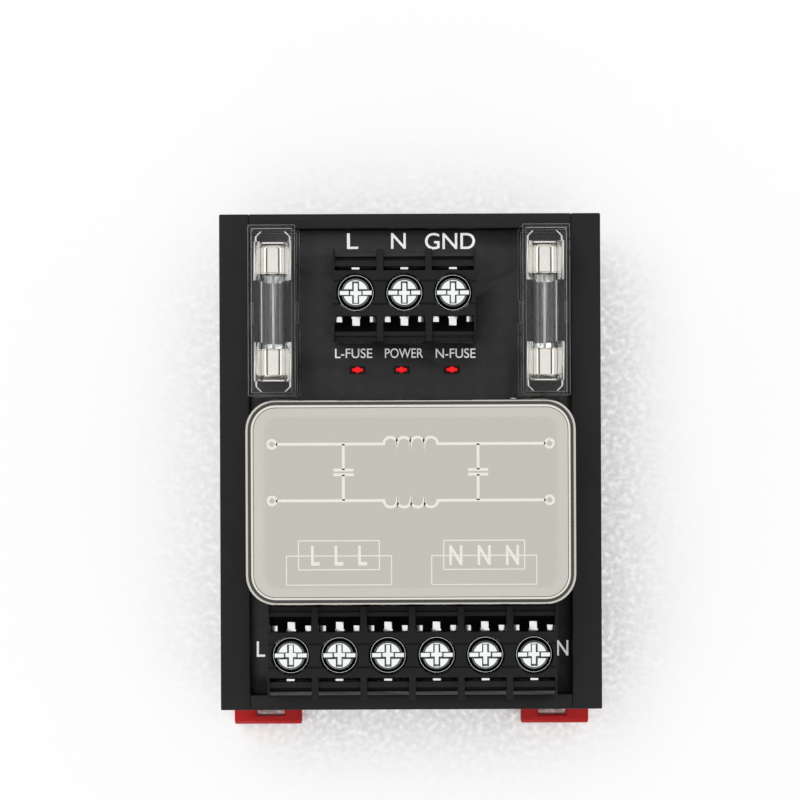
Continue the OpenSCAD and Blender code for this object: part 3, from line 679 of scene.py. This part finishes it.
def lettering(
    text: str,
    centre: tuple[float, float],
    size: tuple[float, float],
    levels: tuple[float, float],
    bold: float,
) -> Part:
    """Cut plain block letters as a thin closed layer.

    The letters are made a mesh first, and then fitted to the box they have to fill.

    Args:
        text: The mark to write.
        centre: X and Y of the middle of the mark.
        size: Width and height of the mark.
        levels: Height of the layer's underside and of its top.
        bold: Amount by which strokes grow, as a share of the letters' size.

    Returns:
        Points and faces of the mark.
    """
    curve = bpy.data.curves.new("mark", "FONT")
    curve.body = text
    curve.offset = bold
    curve.extrude = 0.1
    holder = link_object("mark", curve)
    bpy.context.view_layer.update()
    mesh = bpy.data.meshes.new_from_object(holder.evaluated_get(bpy.context.evaluated_depsgraph_get()))
    points = np.empty(len(mesh.vertices) * 3)
    mesh.vertices.foreach_get("co", points)
    points = points.reshape(-1, 3)
    faces = [list(face.vertices) for face in mesh.polygons]
    bpy.data.objects.remove(holder)
    bpy.data.curves.remove(curve)
    bpy.data.meshes.remove(mesh)
    least, most = points.min(0), points.max(0)
    box = np.array([*size, levels[1] - levels[0]])
    start = np.array([centre[0] - size[0] / 2, centre[1] - size[1] / 2, levels[0]])
    return start + (points - least) / (most - least) * box, faces


def box_mm(node: str) -> tuple[np.ndarray, np.ndarray]:
    """Return the lowest and highest corner of a node in millimetres."""
    low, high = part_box(node)
    return np.array(low) / MM, np.array(high) / MM


# ---- Sub-assemblies ----


def attach(
    piece: Piece, material: Material, slot: str, *nodes: str, body: Body = Body.MODULE
) -> None:
    """Give a piece its material and its body, and hide the nodes that it replaces.

    Args:
        piece: Piece whose mesh is ready.
        material: What it is made of.
        slot: Name of its finish; not used.
        *nodes: Nodes that it replaces.
        body: Body that it rides on.
    """
    piece.data.materials.append(material)
    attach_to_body(piece, body.value)
    if nodes:
        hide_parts(*nodes)
    LOG.info("made %s: %d faces", piece.name, len(piece.data.polygons))


@dataclass
class Assembly:
    frame: dict

    def keep(self, node: str, material: Material) -> None:
        """Give a node that stays as it is its material, by its slots.

        Args:
            node: Node to dress.
            material: What it is made of.
        """
        solid = self.frame["nodes"][node]
        if not solid.material_slots:
            solid.data.materials.append(material)
        for slot in solid.material_slots:
            slot.link = "OBJECT"
            slot.material = material
        LOG.info("kept %s", node)

    def soften(
        self, node: str, slot: str, finish: Material, edge: float,
        body: Body = Body.MODULE, flat: bool = False,
    ) -> Piece:
        """Stand for a node by its own solid, with its sharp edges broken by a small round.

        Doubled points are merged and faces in one plane are joined, so that the bevel sees
        only real edges.

        Args:
            node: Node to copy and replace.
            slot: Name of the finish.
            finish: What the piece is made of.
            edge: Width of the broken edge.
            body: Body that the piece rides on.
            flat: Whether its faces are shaded flat, as on a piece that has only flat walls.

        Returns:
            The new piece.
        """
        name = f"{node}_finished"
        mesh = self.frame["nodes"][node].data.copy()
        mesh.name = name
        mesh.materials.clear()
        work = bmesh.new()
        work.from_mesh(mesh)
        bmesh.ops.remove_doubles(work, verts=work.verts, dist=0.0005 * MM)
        bmesh.ops.dissolve_limit(
            work, angle_limit=np.radians(0.5), verts=work.verts, edges=work.edges,
            use_dissolve_boundaries=False,
        )
        work.to_mesh(mesh)
        work.free()
        if flat:
            mesh.shade_flat()
        else:
            mesh.shade_smooth()
        piece = link_object(name, mesh)
        bevel = piece.modifiers.new("broken edges", "BEVEL")
        bevel.width = edge * MM
        bevel.segments = 2
        bevel.limit_method = "ANGLE"
        bevel.angle_limit = SHARP
        bevel.use_clamp_overlap = False
        bevel.harden_normals = not flat
        attach(piece, finish, slot, node, body=body)
        return piece


@dataclass
class Carrier(Assembly):
    """Extruded tray with its two moulded side plates and feet, and the sliding latches."""

    tray_edge: float = 0.15
    plate_edge: float = 0.2
    latch_edge: float = 0.25
    tray: ExtrudedPlastic = ExtrudedPlastic("extruded black PVC", "#202020")
    plate: MouldedPlastic = MouldedPlastic("moulded black ABS", "#1f1f1f", roughness=0.46)
    latch: MouldedPlastic = MouldedPlastic("moulded red ABS", "#bd1819", roughness=0.4, mottle=0.06)

    def build(self) -> None:
        """Build the tray, the plates and the latches."""
        self.soften("carrier_profile", "carrier_plastic", self.tray.build(), self.tray_edge)
        plate, latch = self.plate.build(), self.latch.build()
        for side, body in ((Side.LEFT, Body.LATCH_LEFT), (Side.RIGHT, Body.LATCH_RIGHT)):
            self.soften(f"side_plate_{side.value}", "plate_plastic", plate, self.plate_edge)
            self.soften(f"rail_latch_{side.value}", "latch_plastic", latch, self.latch_edge, body)


@dataclass(frozen=True)
class Legend:
    """One printed mark: what it says, its middle and its size."""

    text: str
    x: float
    y: float
    width: float
    height: float


@dataclass
class CircuitBoard(Assembly):
    """Board with black mask, its printed legends and the solder joints below."""

    edge: float = 0.08
    solder_edge: float = 0.05
    ink_depth: float = 0.02
    ink_sunk: float = 0.01
    ink_bold: float = 0.006
    mask: SolderMask = SolderMask("black solder mask on glass-fibre laminate", "#2e2e2e")
    # the ink's glow is painted light that lifts the legends out of the shade of the can and the terminal
    # blocks
    ink: PigmentedEpoxy = PigmentedEpoxy("white epoxy legend ink", "#ffffff", glow=0.2)
    tin: PlatedMetal = PlatedMetal("soft solder", "#c6c8c9", roughness=0.22)
    legends: tuple[Legend, ...] = (
        Legend("L", -8.9, 34.4, 1.75, 2.45),
        Legend("N", -1.75, 34.4, 2.3, 2.45),
        Legend("GND", 6.3, 34.35, 7.8, 2.55),
        Legend("L-FUSE", -8.8, 16.9, 5.8, 1.5),
        Legend("POWER", -0.95, 16.9, 5.95, 1.5),
        Legend("N-FUSE", 7.1, 16.85, 6.2, 1.5),
        Legend("L", -23.45, -29.15, 1.3, 2.4),
        Legend("N", 23.6, -29.15, 1.75, 2.4),
    )

    def build(self) -> None:
        """Build the board, print it and dress the solder."""
        self.soften("circuit_board", "board", self.mask.build(), self.edge)
        self.soften("solder_joints", "solder", self.tin.build(), self.solder_edge)
        top = box_mm("circuit_board")[1][2]
        levels = (top - self.ink_sunk, top + self.ink_depth)
        parts = [
            lettering(mark.text, (mark.x, mark.y), (mark.width, mark.height), levels, self.ink_bold)
            for mark in self.legends
        ]
        piece = mesh_piece("board_legends", *join_parts(parts))
        piece.data.shade_flat()
        attach(piece, self.ink.build(), "board")


@dataclass(frozen=True)
class Diagram:
    """Plain circuit diagram of the filter: two conductors, a coil in each and two capacitors."""

    half_length: float = 20
    half_height: float = 4.2
    turns: int = 4
    turn_points: int = 9
    lead_x: float = 10
    plate_gap: float = 0.35
    plate_half: float = 1.5
    end_ring: float = 0.6
    end_reach: float = 20.6
    end_straight: float = 0.001
    end_steps: int = 6
    stroke: float = 0.42

    def draw(self, x: float, y: float, low: float, high: float) -> list[Part]:
        """Draw every stroke as a ribbon.

        A coil is a row of half circles of radius 1; a capacitor is two short bars across the
        lead, and each conductor ends in a ring.

        Args:
            x: Middle of the diagram.
            y: Middle of the diagram.
            low: Height of the ink's underside.
            high: Height of its top.

        Returns:
            Points and faces of each stroke.
        """
        strokes = []
        turn = np.linspace(np.pi, 0, self.turn_points)
        for way in (1, -1):
            rail = y + way * self.half_height
            bumps = [
                np.column_stack([x + 1 - self.turns + 2 * k + np.cos(turn), rail + way * np.sin(turn)])
                for k in range(self.turns)
            ]
            coil = np.vstack([bumps[0], *(bump[1:] for bump in bumps[1:])])
            strokes.append(np.vstack([[x - self.half_length, rail], coil, [x + self.half_length, rail]]))
            plate = y + way * self.plate_gap
            for lead in (x - self.lead_x, x + self.lead_x):
                strokes.append(np.array([[lead, plate], [lead, rail]]))
                strokes.append(np.array([[lead - self.plate_half, plate], [lead + self.plate_half, plate]]))
        parts = [ribbon(path, self.stroke, low, high) for path in strokes]
        radius = self.end_ring
        circle = rounded_loop(radius, radius, radius - self.end_straight, self.end_steps)
        for reach in (-self.end_reach, self.end_reach):
            for way in (1, -1):
                ring = circle + np.array([x + reach, y + way * self.half_height])
                parts.append(ribbon(ring, self.stroke, low, high, closed=True))
        return parts


@dataclass(frozen=True)
class LetterRow:
    """Three equal conductor letters in a row, from the middle of the can's top."""

    letter: str
    x: float
    pitch: float
    width: float


@dataclass
class FilterCan(Assembly):
    """Drawn metal can with its tabs and its pale print."""

    corner: float = 4.5
    corner_steps: int = 10
    least_corner: float = 0.2
    sheet: float = 0.6
    wall_rings: int = 6
    edge_rings: int = 28
    edge_bands: tuple[tuple[float, float], ...] = (
        (84, 0.0), (67, 0.03), (45, 0.24), (37, 0.5), (26, 0.36), (19, 0.12), (4, 0.45), (0, 0.6),
    )
    crown: float = 0.06
    crown_shares: tuple[float, ...] = (0.99, 0.98, 0.96, 0.9, 0.8, 0.6, 0.4, 0.2, 0.05)
    satin_share: float = 0.97
    tab_width: float = 1.6
    tab_x: float = 16
    tab_rise: float = 0.5
    ink_room: float = 0.02
    ink_levels: tuple[float, float] = (-0.019, -0.002)
    ink_bold: float = 0.02
    diagram: Diagram = Diagram()
    diagram_y: float = 4.5
    letter_rows: tuple[LetterRow, ...] = (LetterRow("L", -10.7, 3.5, 1.3), LetterRow("N", 10.85, 4.2, 1.95))
    row_y: float = -7.85
    letter_height: float = 2.95
    frames: tuple[tuple[float, float, float], ...] = ((6.0, 0.05, 0.00395), (7.8, -2.2, 0.0062))
    frame_half: float = 2.15
    frame_corner: float = 0.05
    frame_line: float = 0.16
    metal: DrawnCan = DrawnCan("drawn nickel-plated steel", "#ccc9c0")
    ink: PigmentedEpoxy = PigmentedEpoxy(
        "pale pad-printed ink", "#e8e5de", roughness=0.5, cloud=(0.95, 0.35, 0.6)
    )

    @property
    def seat(self) -> float:
        """Return the height of the board that the can stands on."""
        return box_mm("filter_base")[0][2]

    def skin(self) -> Piece:
        """Draw the can's skin, from the foot outside, over the edge, to the middle of the top.

        Each ring is the rounded rectangle drawn in by an inset. Up the wall the inset is
        nothing. Over the edge the skin's tilt falls from upright to level: each edge band holds
        the tilt in degrees that its stretch ends with and how wide that stretch is, and the
        skin climbs by the tangent of the tilt times each step inwards. Over the top the ring
        shrinks in proportion, and the crown rises as one minus the eighth power of the share.

        Returns:
            The can, with the sheet's thickness and with its "bright" attribute.
        """
        low, high = box_mm("filter_can")
        half = (high - low)[:2] / 2
        around = 4 * self.corner_steps
        tilts, widths = np.array(self.edge_bands).T
        knots = np.cumsum(widths)
        steps = np.interp(np.linspace(0, len(knots) - 1, self.edge_rings + 1), np.arange(len(knots)), knots)
        slope = np.tan(np.radians(np.interp(steps, knots, tilts)))
        climb = np.cumsum((slope[1:] + slope[:-1]) / 2 * np.diff(steps))
        rim_top = high[2] - self.ink_room - self.crown
        wall_top = rim_top - climb[-1]
        inset = np.concatenate([np.zeros(self.wall_rings), steps[1:]])
        height = np.concatenate([np.linspace(self.seat, wall_top, self.wall_rings), wall_top + climb])
        rings = [
            np.column_stack([
                rounded_loop(
                    *(half - drawn_in), max(self.corner - drawn_in, self.least_corner), self.corner_steps
                ),
                np.full(around, level),
            ])
            for drawn_in, level in zip(inset, height)
        ]
        polish = [np.ones(around)] * len(rings)
        shoulder = rings[-1][:, :2]
        for share in self.crown_shares:
            rise = self.crown * (1 - share**8)
            rings.append(np.column_stack([shoulder * share, np.full(around, rim_top + rise)]))
            sheen = np.clip((share - self.satin_share) / (1 - self.satin_share), 0, 1)
            polish.append(np.full(around, sheen))
        points = np.vstack(rings) + np.array([*(high + low)[:2] / 2, 0])
        faces = grid_faces(len(rings), around)
        last = around * (len(rings) - 1)
        faces.append(list(range(last, last + around)))
        piece = mesh_piece("filter_can_skin", points, faces)
        bright = piece.data.attributes.new("bright", "FLOAT", "POINT")
        bright.data.foreach_set("value", np.concatenate(polish))
        wall = piece.modifiers.new("sheet", "SOLIDIFY")
        wall.thickness = self.sheet * MM
        wall.offset = -1
        return piece

    def tabs(self) -> Piece:
        """Fold down the two earthing tabs, at opposite walls.

        Returns:
            Both tabs, which run from inside the wall to below the board.
        """
        low, high = box_mm("filter_can")
        x, y = (low + high)[:2] / 2
        reach = (high - low)[1] / 2 - self.sheet / 2
        half = self.tab_width / 2
        parts = []
        for way in (1, -1):
            middle = x + way * self.tab_x
            path = np.array([[middle - half, y + way * reach], [middle + half, y + way * reach]])
            parts.append(ribbon(path, self.sheet, low[2], self.seat + self.tab_rise))
        return mesh_piece("can_tabs", *join_parts(parts))

    def print_marks(self) -> Piece:
        """Print the diagram and the two framed rows of conductor letters.

        Each row has two frames that cross; their tops differ in height, so that neither
        flickers through the other.

        Returns:
            The printed layer.
        """
        low, high = box_mm("filter_can")
        x, y = (low + high)[:2] / 2
        levels = tuple(high[2] + level for level in self.ink_levels)
        parts = self.diagram.draw(x, y + self.diagram_y, *levels)
        for row in self.letter_rows:
            middle = np.array([x + row.x, y + self.row_y])
            for place in (-row.pitch, 0, row.pitch):
                centre = (middle[0] + place, middle[1])
                parts.append(
                    lettering(row.letter, centre, (row.width, self.letter_height), levels, self.ink_bold)
                )
            for half_x, shift, drop in self.frames:
                line = rounded_loop(half_x, self.frame_half, self.frame_corner, steps=2)
                line = line + middle + np.array([0, shift])
                parts.append(ribbon(line, self.frame_line, levels[0], levels[1] - drop, closed=True))
        piece = mesh_piece("can_print", *join_parts(parts))
        piece.data.shade_flat()
        return piece

    def build(self) -> None:
        """Build the can with its tabs, and print it."""
        metal = self.metal.build()
        skin, tabs, marks = self.skin(), self.tabs(), self.print_marks()
        attach(skin, metal, "can_metal", "filter_can")
        attach(tabs, metal, "can_metal")
        attach(marks, self.ink.build(), "can_metal")


@dataclass
class SealedParts(Assembly):
    """What the closed can holds: base, pins, resin, choke and capacitors."""

    base: MouldedPlastic = MouldedPlastic("moulded black phenolic", "#1f1f1f")
    resin: MouldedPlastic = MouldedPlastic("cast brown epoxy", "#4a3d33", roughness=0.3, grain=0.5)
    ferrite: MouldedPlastic = MouldedPlastic("epoxy-coated ferrite", "#3f5a46", roughness=0.4, grain=0.3)
    box: MouldedPlastic = MouldedPlastic("moulded yellow polyester", "#d9a63a", roughness=0.4)
    disc: MouldedPlastic = MouldedPlastic("dipped blue epoxy", "#3b6ea8", roughness=0.3, grain=0.4)
    wire: PlatedMetal = PlatedMetal("enamelled copper wire", "#b4652e", roughness=0.25)
    pin: PlatedMetal = PlatedMetal("tinned brass", "#c9cbcc", roughness=0.2)

    def build(self) -> None:
        """Dress each hidden node as what it is."""
        for finish, nodes in (
            (self.base, ("filter_base",)),
            (self.pin, ("filter_pins",)),
            (self.resin, ("casting_resin",)),
            (self.ferrite, ("choke_core",)),
            (self.wire, ("choke_winding_line", "choke_winding_neutral")),
            (self.box, ("mains_capacitor_input", "mains_capacitor_output")),
            (self.disc, ("earth_capacitors",)),
        ):
            material = finish.build()
            for node in nodes:
                self.keep(node, material)


@dataclass
class TerminalBlock(Assembly):
    """One row of screw terminals: moulded body, contacts, clamping plates and screws."""

    end: str
    cells: int
    finishes: dict[str, Material]
    body_edge: float = 0.1
    metal_edge: float = 0.08
    screw_edge: float = 0.12
    head_size: float = 5.6
    head_drop: float = 1.1
    ring_wide: float = 0.26
    ring_tall: float = 0.12
    level_normal: float = 0.99

    def paint_flank_shade(self, screws: Piece) -> None:
        """Paint shade on every face that isn't level, and on every broken edge, with a darker copy of the
        screw metal.

        Args:
            screws: The row of screws.
        """
        screws.data.materials.append(self.finishes["screw_flank_painted_shade"])
        faces = screws.data.polygons
        normals = np.empty(len(faces) * 3)
        faces.foreach_get("normal", normals)
        faces.foreach_set("material_index", (np.abs(normals[2::3]) < self.level_normal).astype(np.int32))
        screws.modifiers["broken edges"].material = 1

    def rims(self) -> Piece:
        """Turn the polished rim of each head's flange, which is half an ellipse in section.

        Returns:
            The rims of all heads in the row.
        """
        low, high = box_mm(f"{self.end}_terminal_screws")
        outside = self.head_size / 2
        half = self.ring_wide / 2
        arc = np.linspace(0, np.pi, 9)
        section = np.column_stack([
            outside - half + half * np.cos(arc), high[2] - self.head_drop + self.ring_tall * np.sin(arc),
        ])
        points, faces = revolve(section)
        row = (low[1] + high[1]) / 2
        spread = np.linspace(low[0] + outside, high[0] - outside, self.cells)
        rings = [(points + np.array([x, row, 0]), faces) for x in spread]
        return mesh_piece(f"{self.end}_terminal_rims", *join_parts(rings))

    def build(self) -> None:
        """Build the block's pieces."""
        for part, slot, edge in (
            ("body", "terminal_plastic", self.body_edge),
            ("contacts", "contact_metal", self.metal_edge),
            ("clamps", "clamp_metal", self.metal_edge),
        ):
            self.soften(f"{self.end}_terminal_{part}", slot, self.finishes[slot], edge)
        metal = self.finishes["screw_metal"]
        # the screws' sloped faces and broken edges take painted shade
        self.paint_flank_shade(self.soften(f"{self.end}_terminal_screws", "screw_metal", metal, self.screw_edge))
        attach(self.rims(), metal, "screw_metal")


@dataclass
class Fuse(Assembly):
    """Glass fuse in its clips under a clear cover, at one side of the board."""

    side: Side
    finishes: dict[str, Material]
    cap_reach: float = 4.4
    cap_round: float = 0.45
    cap_wall: float = 0.2
    cap_end_wall: float = 0.5
    axis_gap: float = 0.0001
    bead: float = 0.12
    bead_rise: float = 0.02
    dimple: float = 0.9
    dimple_depth: float = 0.08
    dimple_slope: float = 0.1
    glass_wall: float = 0.5
    clip_edge: float = 0.06
    wire_edge: float = 0.02
    cover_edge: float = 0.1

    def lay(self, part: Part, centre: np.ndarray, flip: bool = False) -> Part:
        """Lay a turned part along Y about a centre, either way round.

        Args:
            part: Points and faces turned about Z.
            centre: Middle of the fuse.
            flip: Whether the part's far end points to the lower edge.

        Returns:
            The part in its place, with its faces still outwards.
        """
        points, faces = part
        way = -1 if flip else 1
        return np.column_stack([points[:, 0] * way, points[:, 2] * way, -points[:, 1]]) + centre, faces

    def caps(self) -> Piece:
        """Turn the two end caps: a rolled mouth, a straight wall and a rounded end.

        The mouth's bead is half a circle, and the wall stands a little behind it; the end is
        a quarter circle with a shallow dimple.

        Returns:
            Both caps.
        """
        name = f"fuse_caps_{self.side.value}"
        low, high = box_mm(name)
        end = (high[1] - low[1]) / 2
        radius = (high[0] - low[0]) / 2
        wall = radius - self.bead_rise
        mouth = end - self.cap_reach
        inside = radius - self.cap_wall
        dent, back = end - self.dimple_depth, end - self.cap_end_wall
        half = np.linspace(0, np.pi, 6)
        quarter = np.linspace(0, np.pi / 2, 7)[1:]
        section = np.vstack([
            np.column_stack([
                radius - self.bead + self.bead * np.sin(half), mouth + self.bead * (1 - np.cos(half)),
            ]),
            [[wall, mouth + 2 * self.bead], [wall, end - self.cap_round]],
            np.column_stack([
                wall - self.cap_round + self.cap_round * np.cos(quarter),
                end - self.cap_round + self.cap_round * np.sin(quarter),
            ]),
            [[self.dimple, end], [self.dimple - self.dimple_slope, dent]],
            [[self.axis_gap, dent], [self.axis_gap, back], [inside, back], [inside, mouth]],
        ])
        turned = revolve(section)
        centre = (low + high) / 2
        parts = [self.lay(turned, centre), self.lay(turned, centre, flip=True)]
        return mesh_piece(f"{name}_turned", *join_parts(parts))

    def tube(self) -> Piece:
        """Draw the glass tube between the caps.

        Returns:
            The tube, open at both ends.
        """
        name = f"fuse_glass_{self.side.value}"
        low, high = box_mm(name)
        outside = (high[0] - low[0]) / 2
        bore = outside - self.glass_wall
        half = (high[1] - low[1]) / 2
        wall = np.array([[outside, -half], [outside, half], [bore, half], [bore, -half]])
        return mesh_piece(f"{name}_drawn", *self.lay(revolve(wall, 64), (low + high) / 2))

    def build(self) -> None:
        """Build the fuse, its clips and its cover."""
        end = self.side.value
        attach(self.caps(), self.finishes["cap_metal"], "cap_metal", f"fuse_caps_{end}")
        attach(self.tube(), self.finishes["fuse_glass"], "fuse_glass", f"fuse_glass_{end}")
        for part, slot, edge in (
            ("element", "element_metal", self.wire_edge), ("clips", "clip_metal", self.clip_edge),
        ):
            self.soften(f"fuse_{part}_{end}", slot, self.finishes[slot], edge)
        cover = self.soften(
            f"fuse_cover_{end}", "cover_plastic", self.finishes["cover_plastic"], self.cover_edge, flat=True
        )
        # the cover's broken edges take the paler copy: painted highlight along the edges
        cover.data.materials.append(self.finishes["cover_edge"])
        cover.modifiers["broken edges"].material = 1


@dataclass
class Indicators(Assembly):
    """Three surface-mounted lamps: a dark foot with a red lens moulded on it."""

    edge: float = 0.08
    foot_height: float = 0.31
    foot: MouldedPlastic = MouldedPlastic("moulded dark lamp foot", "#1c1414", roughness=0.4)
    lens: PigmentedEpoxy = PigmentedEpoxy(
        "red epoxy lamp lens", "#e80812", roughness=0.3, gleam=0.3, glow=0.55,
        blot=0.6, detail=2.0, cloud=(0.8, 0.3, 0.7),
    )

    def build(self) -> None:
        """Build the lamps and dress what stands above the foot as the lens."""
        piece = self.soften("indicators", "indicator", self.foot.build(), self.edge)
        piece.data.materials.append(self.lens.build())
        foot_top = box_mm("circuit_board")[1][2] + self.foot_height
        faces = piece.data.polygons
        middles = np.empty(len(faces) * 3)
        faces.foreach_get("center", middles)
        faces.foreach_set("material_index", (middles[2::3] > foot_top * MM).astype(np.int32))


# ---- Studio ----


@dataclass
class Studio:
    """Pale floor, even dome with a soft key, and the near-overhead camera.

    The levels of the dome are heights of a direction above the horizon, as sines, and the
    brightness there: a band low down lights edges, and a dark one above it keeps the
    slopes of metal dark.
    """

    floor_colour: str = "#fbfbfb"
    floor_size: float = 3000
    floor_gap: float = 0.02
    floor_grain: float = 6
    floor_glow: float = 0.72
    shade_reach: float = 22
    speckle: float = 0.9
    least_power: float = 0.1
    most_power: float = 3.0
    levels: tuple[tuple[float, float], ...] = (
        (0.0, 0.12), (0.28, 0.12), (0.33, 1.35), (0.6, 1.35), (0.64, 0.04), (0.74, 0.04), (0.78, 1.0),
        (1.0, 1.0),
    )
    key_place: tuple[float, float, float] = (-300, 300, 800)
    key_size: float = 500
    key_watts: float = 2.2
    camera_place: tuple[float, float, float] = (-0.432, 3.699, 421.25)
    camera_turn: tuple[float, float, float] = (0.00132, -0.00037, -0.00417)
    focal: float = 116.88
    sensor: float = 36
    shift: tuple[float, float] = (-0.0108, 0.0429)

    def plaster(self) -> Material:
        """Wire the floor's finish: painted plaster board, with painted shade near the module that a fine
        speckle breaks up.

        Gives the eye a nearly white ground that keeps the module's soft shade. What the
        camera sees of it, straight or by way of glass and metal, is lifted by an even glow,
        times the open air over each spot to a power that the speckle sets; where there is little
        open air, near and under the module, the glow drops away, which is painted shade. The
        speckle stands for the plaster's grain, shown as spots of deeper painted shade, and is
        drawn coarser than paint grain so that it shows.

        Returns:
            The material.
        """
        material, tree, shader, place = new_material("painted plaster board")
        grain, speckle = (
            add_node(tree, "TexNoise", pattern(place, size, Detail=detail))
            for size, detail in ((self.floor_grain, 4.0), (self.speckle, 1.0))
        )
        bump = add_node(tree, "Bump", {"Height": grain, "Strength": 0.3, "Distance": 0.3 * MM})
        feed(tree, shader, {"Base Color": linear(self.floor_colour), "Roughness": 0.9, "Normal": bump})
        path = add_node(tree, "LightPath", {})
        share = path.outputs["Is Camera Ray"]
        for ray in ("Is Glossy Ray", "Is Transmission Ray"):
            share = add_node(tree, "Math", {0: share, 1: path.outputs[ray]}, operation="MAXIMUM")
        # little open air cuts the glow: painted shade near and under the module, varied by the speckle
        open_air = add_node(
            tree, "AmbientOcclusion", {"Distance": self.shade_reach * MM}, samples=4
        ).outputs["AO"]
        power = add_node(
            tree, "MapRange",
            {"Value": speckle, **NOISE_SPAN, "To Min": self.least_power, "To Max": self.most_power},
        )
        painted_shade_factor = add_node(tree, "Math", {0: open_air, 1: power}, operation="POWER")
        for factor in (painted_shade_factor, self.floor_glow):
            share = add_node(tree, "Math", {0: share, 1: factor}, operation="MULTIPLY")
        glow = add_node(tree, "Emission", {"Color": (1, 1, 1, 1), "Strength": 1.0})
        mixed = add_node(tree, "MixShader", {0: share, 1: shader, 2: glow})
        feed(tree, tree.nodes["Material Output"], {"Surface": mixed})
        return material

    def floor(self) -> None:
        """Lay the floor just under the feet."""
        level = box_mm("side_plate_left")[0][2] - self.floor_gap
        signs = np.array([[-1, -1, 0], [1, -1, 0], [1, 1, 0], [-1, 1, 0]])
        corners = self.floor_size / 2 * signs + np.array([0, 0, level])
        floor = mesh_piece("floor", corners, [[0, 1, 2, 3]])
        floor.data.materials.append(self.plaster())

    def dome(self) -> None:
        """Light everything from a dome whose level depends on the height above the horizon."""
        world = bpy.data.worlds.new("studio dome")
        world.use_nodes = True
        tree = world.node_tree
        way = add_node(tree, "TexCoord", {}).outputs["Generated"]
        height = add_node(tree, "SeparateXYZ", {"Vector": way}).outputs["Z"]
        stops = tuple((place, (level, level, level, 1)) for place, level in self.levels)
        glow = add_node(tree, "ValToRGB", {"Fac": height}, stops)
        feed(tree, tree.nodes["Background"], {"Color": glow, "Strength": 1.0})
        bpy.context.scene.world = world

    def key(self) -> None:
        """Hang a large soft lamp at the upper left, aimed at the module."""
        lamp = bpy.data.lights.new("key", "AREA")
        lamp.shape = "DISK"
        lamp.size = self.key_size * MM
        lamp.energy = self.key_watts
        key = link_object("key", lamp)
        key.visible_glossy = False
        key.location = Vector(self.key_place) * MM
        key.rotation_euler = (-key.location).to_track_quat("-Z", "Y").to_euler()

    def camera(self) -> None:
        """Set the camera almost straight above, with the small shift that frames the module."""
        lens = bpy.data.cameras.new("camera")
        lens.lens = self.focal
        lens.sensor_width = self.sensor
        lens.shift_x, lens.shift_y = self.shift
        lens.clip_start = 0.01
        camera = link_object("camera", lens)
        camera.location = Vector(self.camera_place) * MM
        camera.rotation_euler = self.camera_turn
        bpy.context.scene.camera = camera

    def build(self) -> None:
        """Set the floor, the lights and the camera."""
        bpy.context.scene.view_settings.view_transform = "Standard"
        self.floor()
        self.dome()
        self.key()
        self.camera()


def terminal_finishes() -> dict[str, Material]:
    """Make the finishes that both terminal blocks share.

    Returns:
        Each finish by its slot.
    """
    finishes = {
        "terminal_plastic": MouldedPlastic("moulded black polyamide", "#202020", roughness=0.42, gleam=0.12),
        "contact_metal": PlatedMetal("tin-plated brass", "#dcd8cc", roughness=0.22),
        "clamp_metal": PlatedMetal("zinc-plated steel plate", "#f4f4f2", roughness=0.15),
        "screw_metal": PlatedMetal("nickel-plated steel screw", "#f6f9f9", roughness=0.07, haze=0.04),
        # a darker copy of the screw metal, which paints shade on the screws' sloped faces and broken edges
        "screw_flank_painted_shade": PlatedMetal("painted shade on the flank of a plated screw", "#777b7c", roughness=0.1),
    }
    return {slot: finish.build() for slot, finish in finishes.items()}


def fuse_finishes() -> dict[str, Material]:
    """Make the finishes that both fuses share.

    Returns:
        Each finish by its slot.
    """
    finishes = {
        "clip_metal": PlatedMetal("nickel-plated spring bronze", "#f2f0ec", roughness=0.1),
        "cap_metal": PlatedMetal("nickel-plated brass cap", "#f8f5ee", roughness=0.06, haze=0.03),
        "element_metal": PlatedMetal("matt tinned fuse wire", "#ffffff", roughness=0.4, metallic=0.2),
        "fuse_glass": ClearGlass("drawn soda glass", "#f6f8f8"),
        "cover_plastic": ClearPlastic("clear moulded polycarbonate", "#8a8a8a"),
        # a paler, less clear copy of the cover plastic: painted highlight on the cover's edges
        "cover_edge": ClearPlastic(
            "painted highlight on the edge of clear polycarbonate", "#9a9e9e", ior=1.5, veil=1.0, clearness=0.6,
            flow=1.5, detail=3.0, cloud=(0.6, 0.35, 0.65), gloss=(0.15, 0.5),
        ),
    }
    return {slot: finish.build() for slot, finish in finishes.items()}


def main() -> None:
    """Build the whole module piece by piece, then the studio."""
    logging.basicConfig(level=logging.INFO, format="%(name)s: %(message)s")
    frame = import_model()
    Carrier(frame).build()
    CircuitBoard(frame).build()
    FilterCan(frame).build()
    SealedParts(frame).build()
    finishes = terminal_finishes()
    for end, cells in (("input", 3), ("output", 6)):
        TerminalBlock(frame, end, cells, finishes).build()
    finishes = fuse_finishes()
    for side in Side:
        Fuse(frame, side, finishes).build()
    Indicators(frame).build()
    Studio().build()


if __name__ == "__main__":
    main()
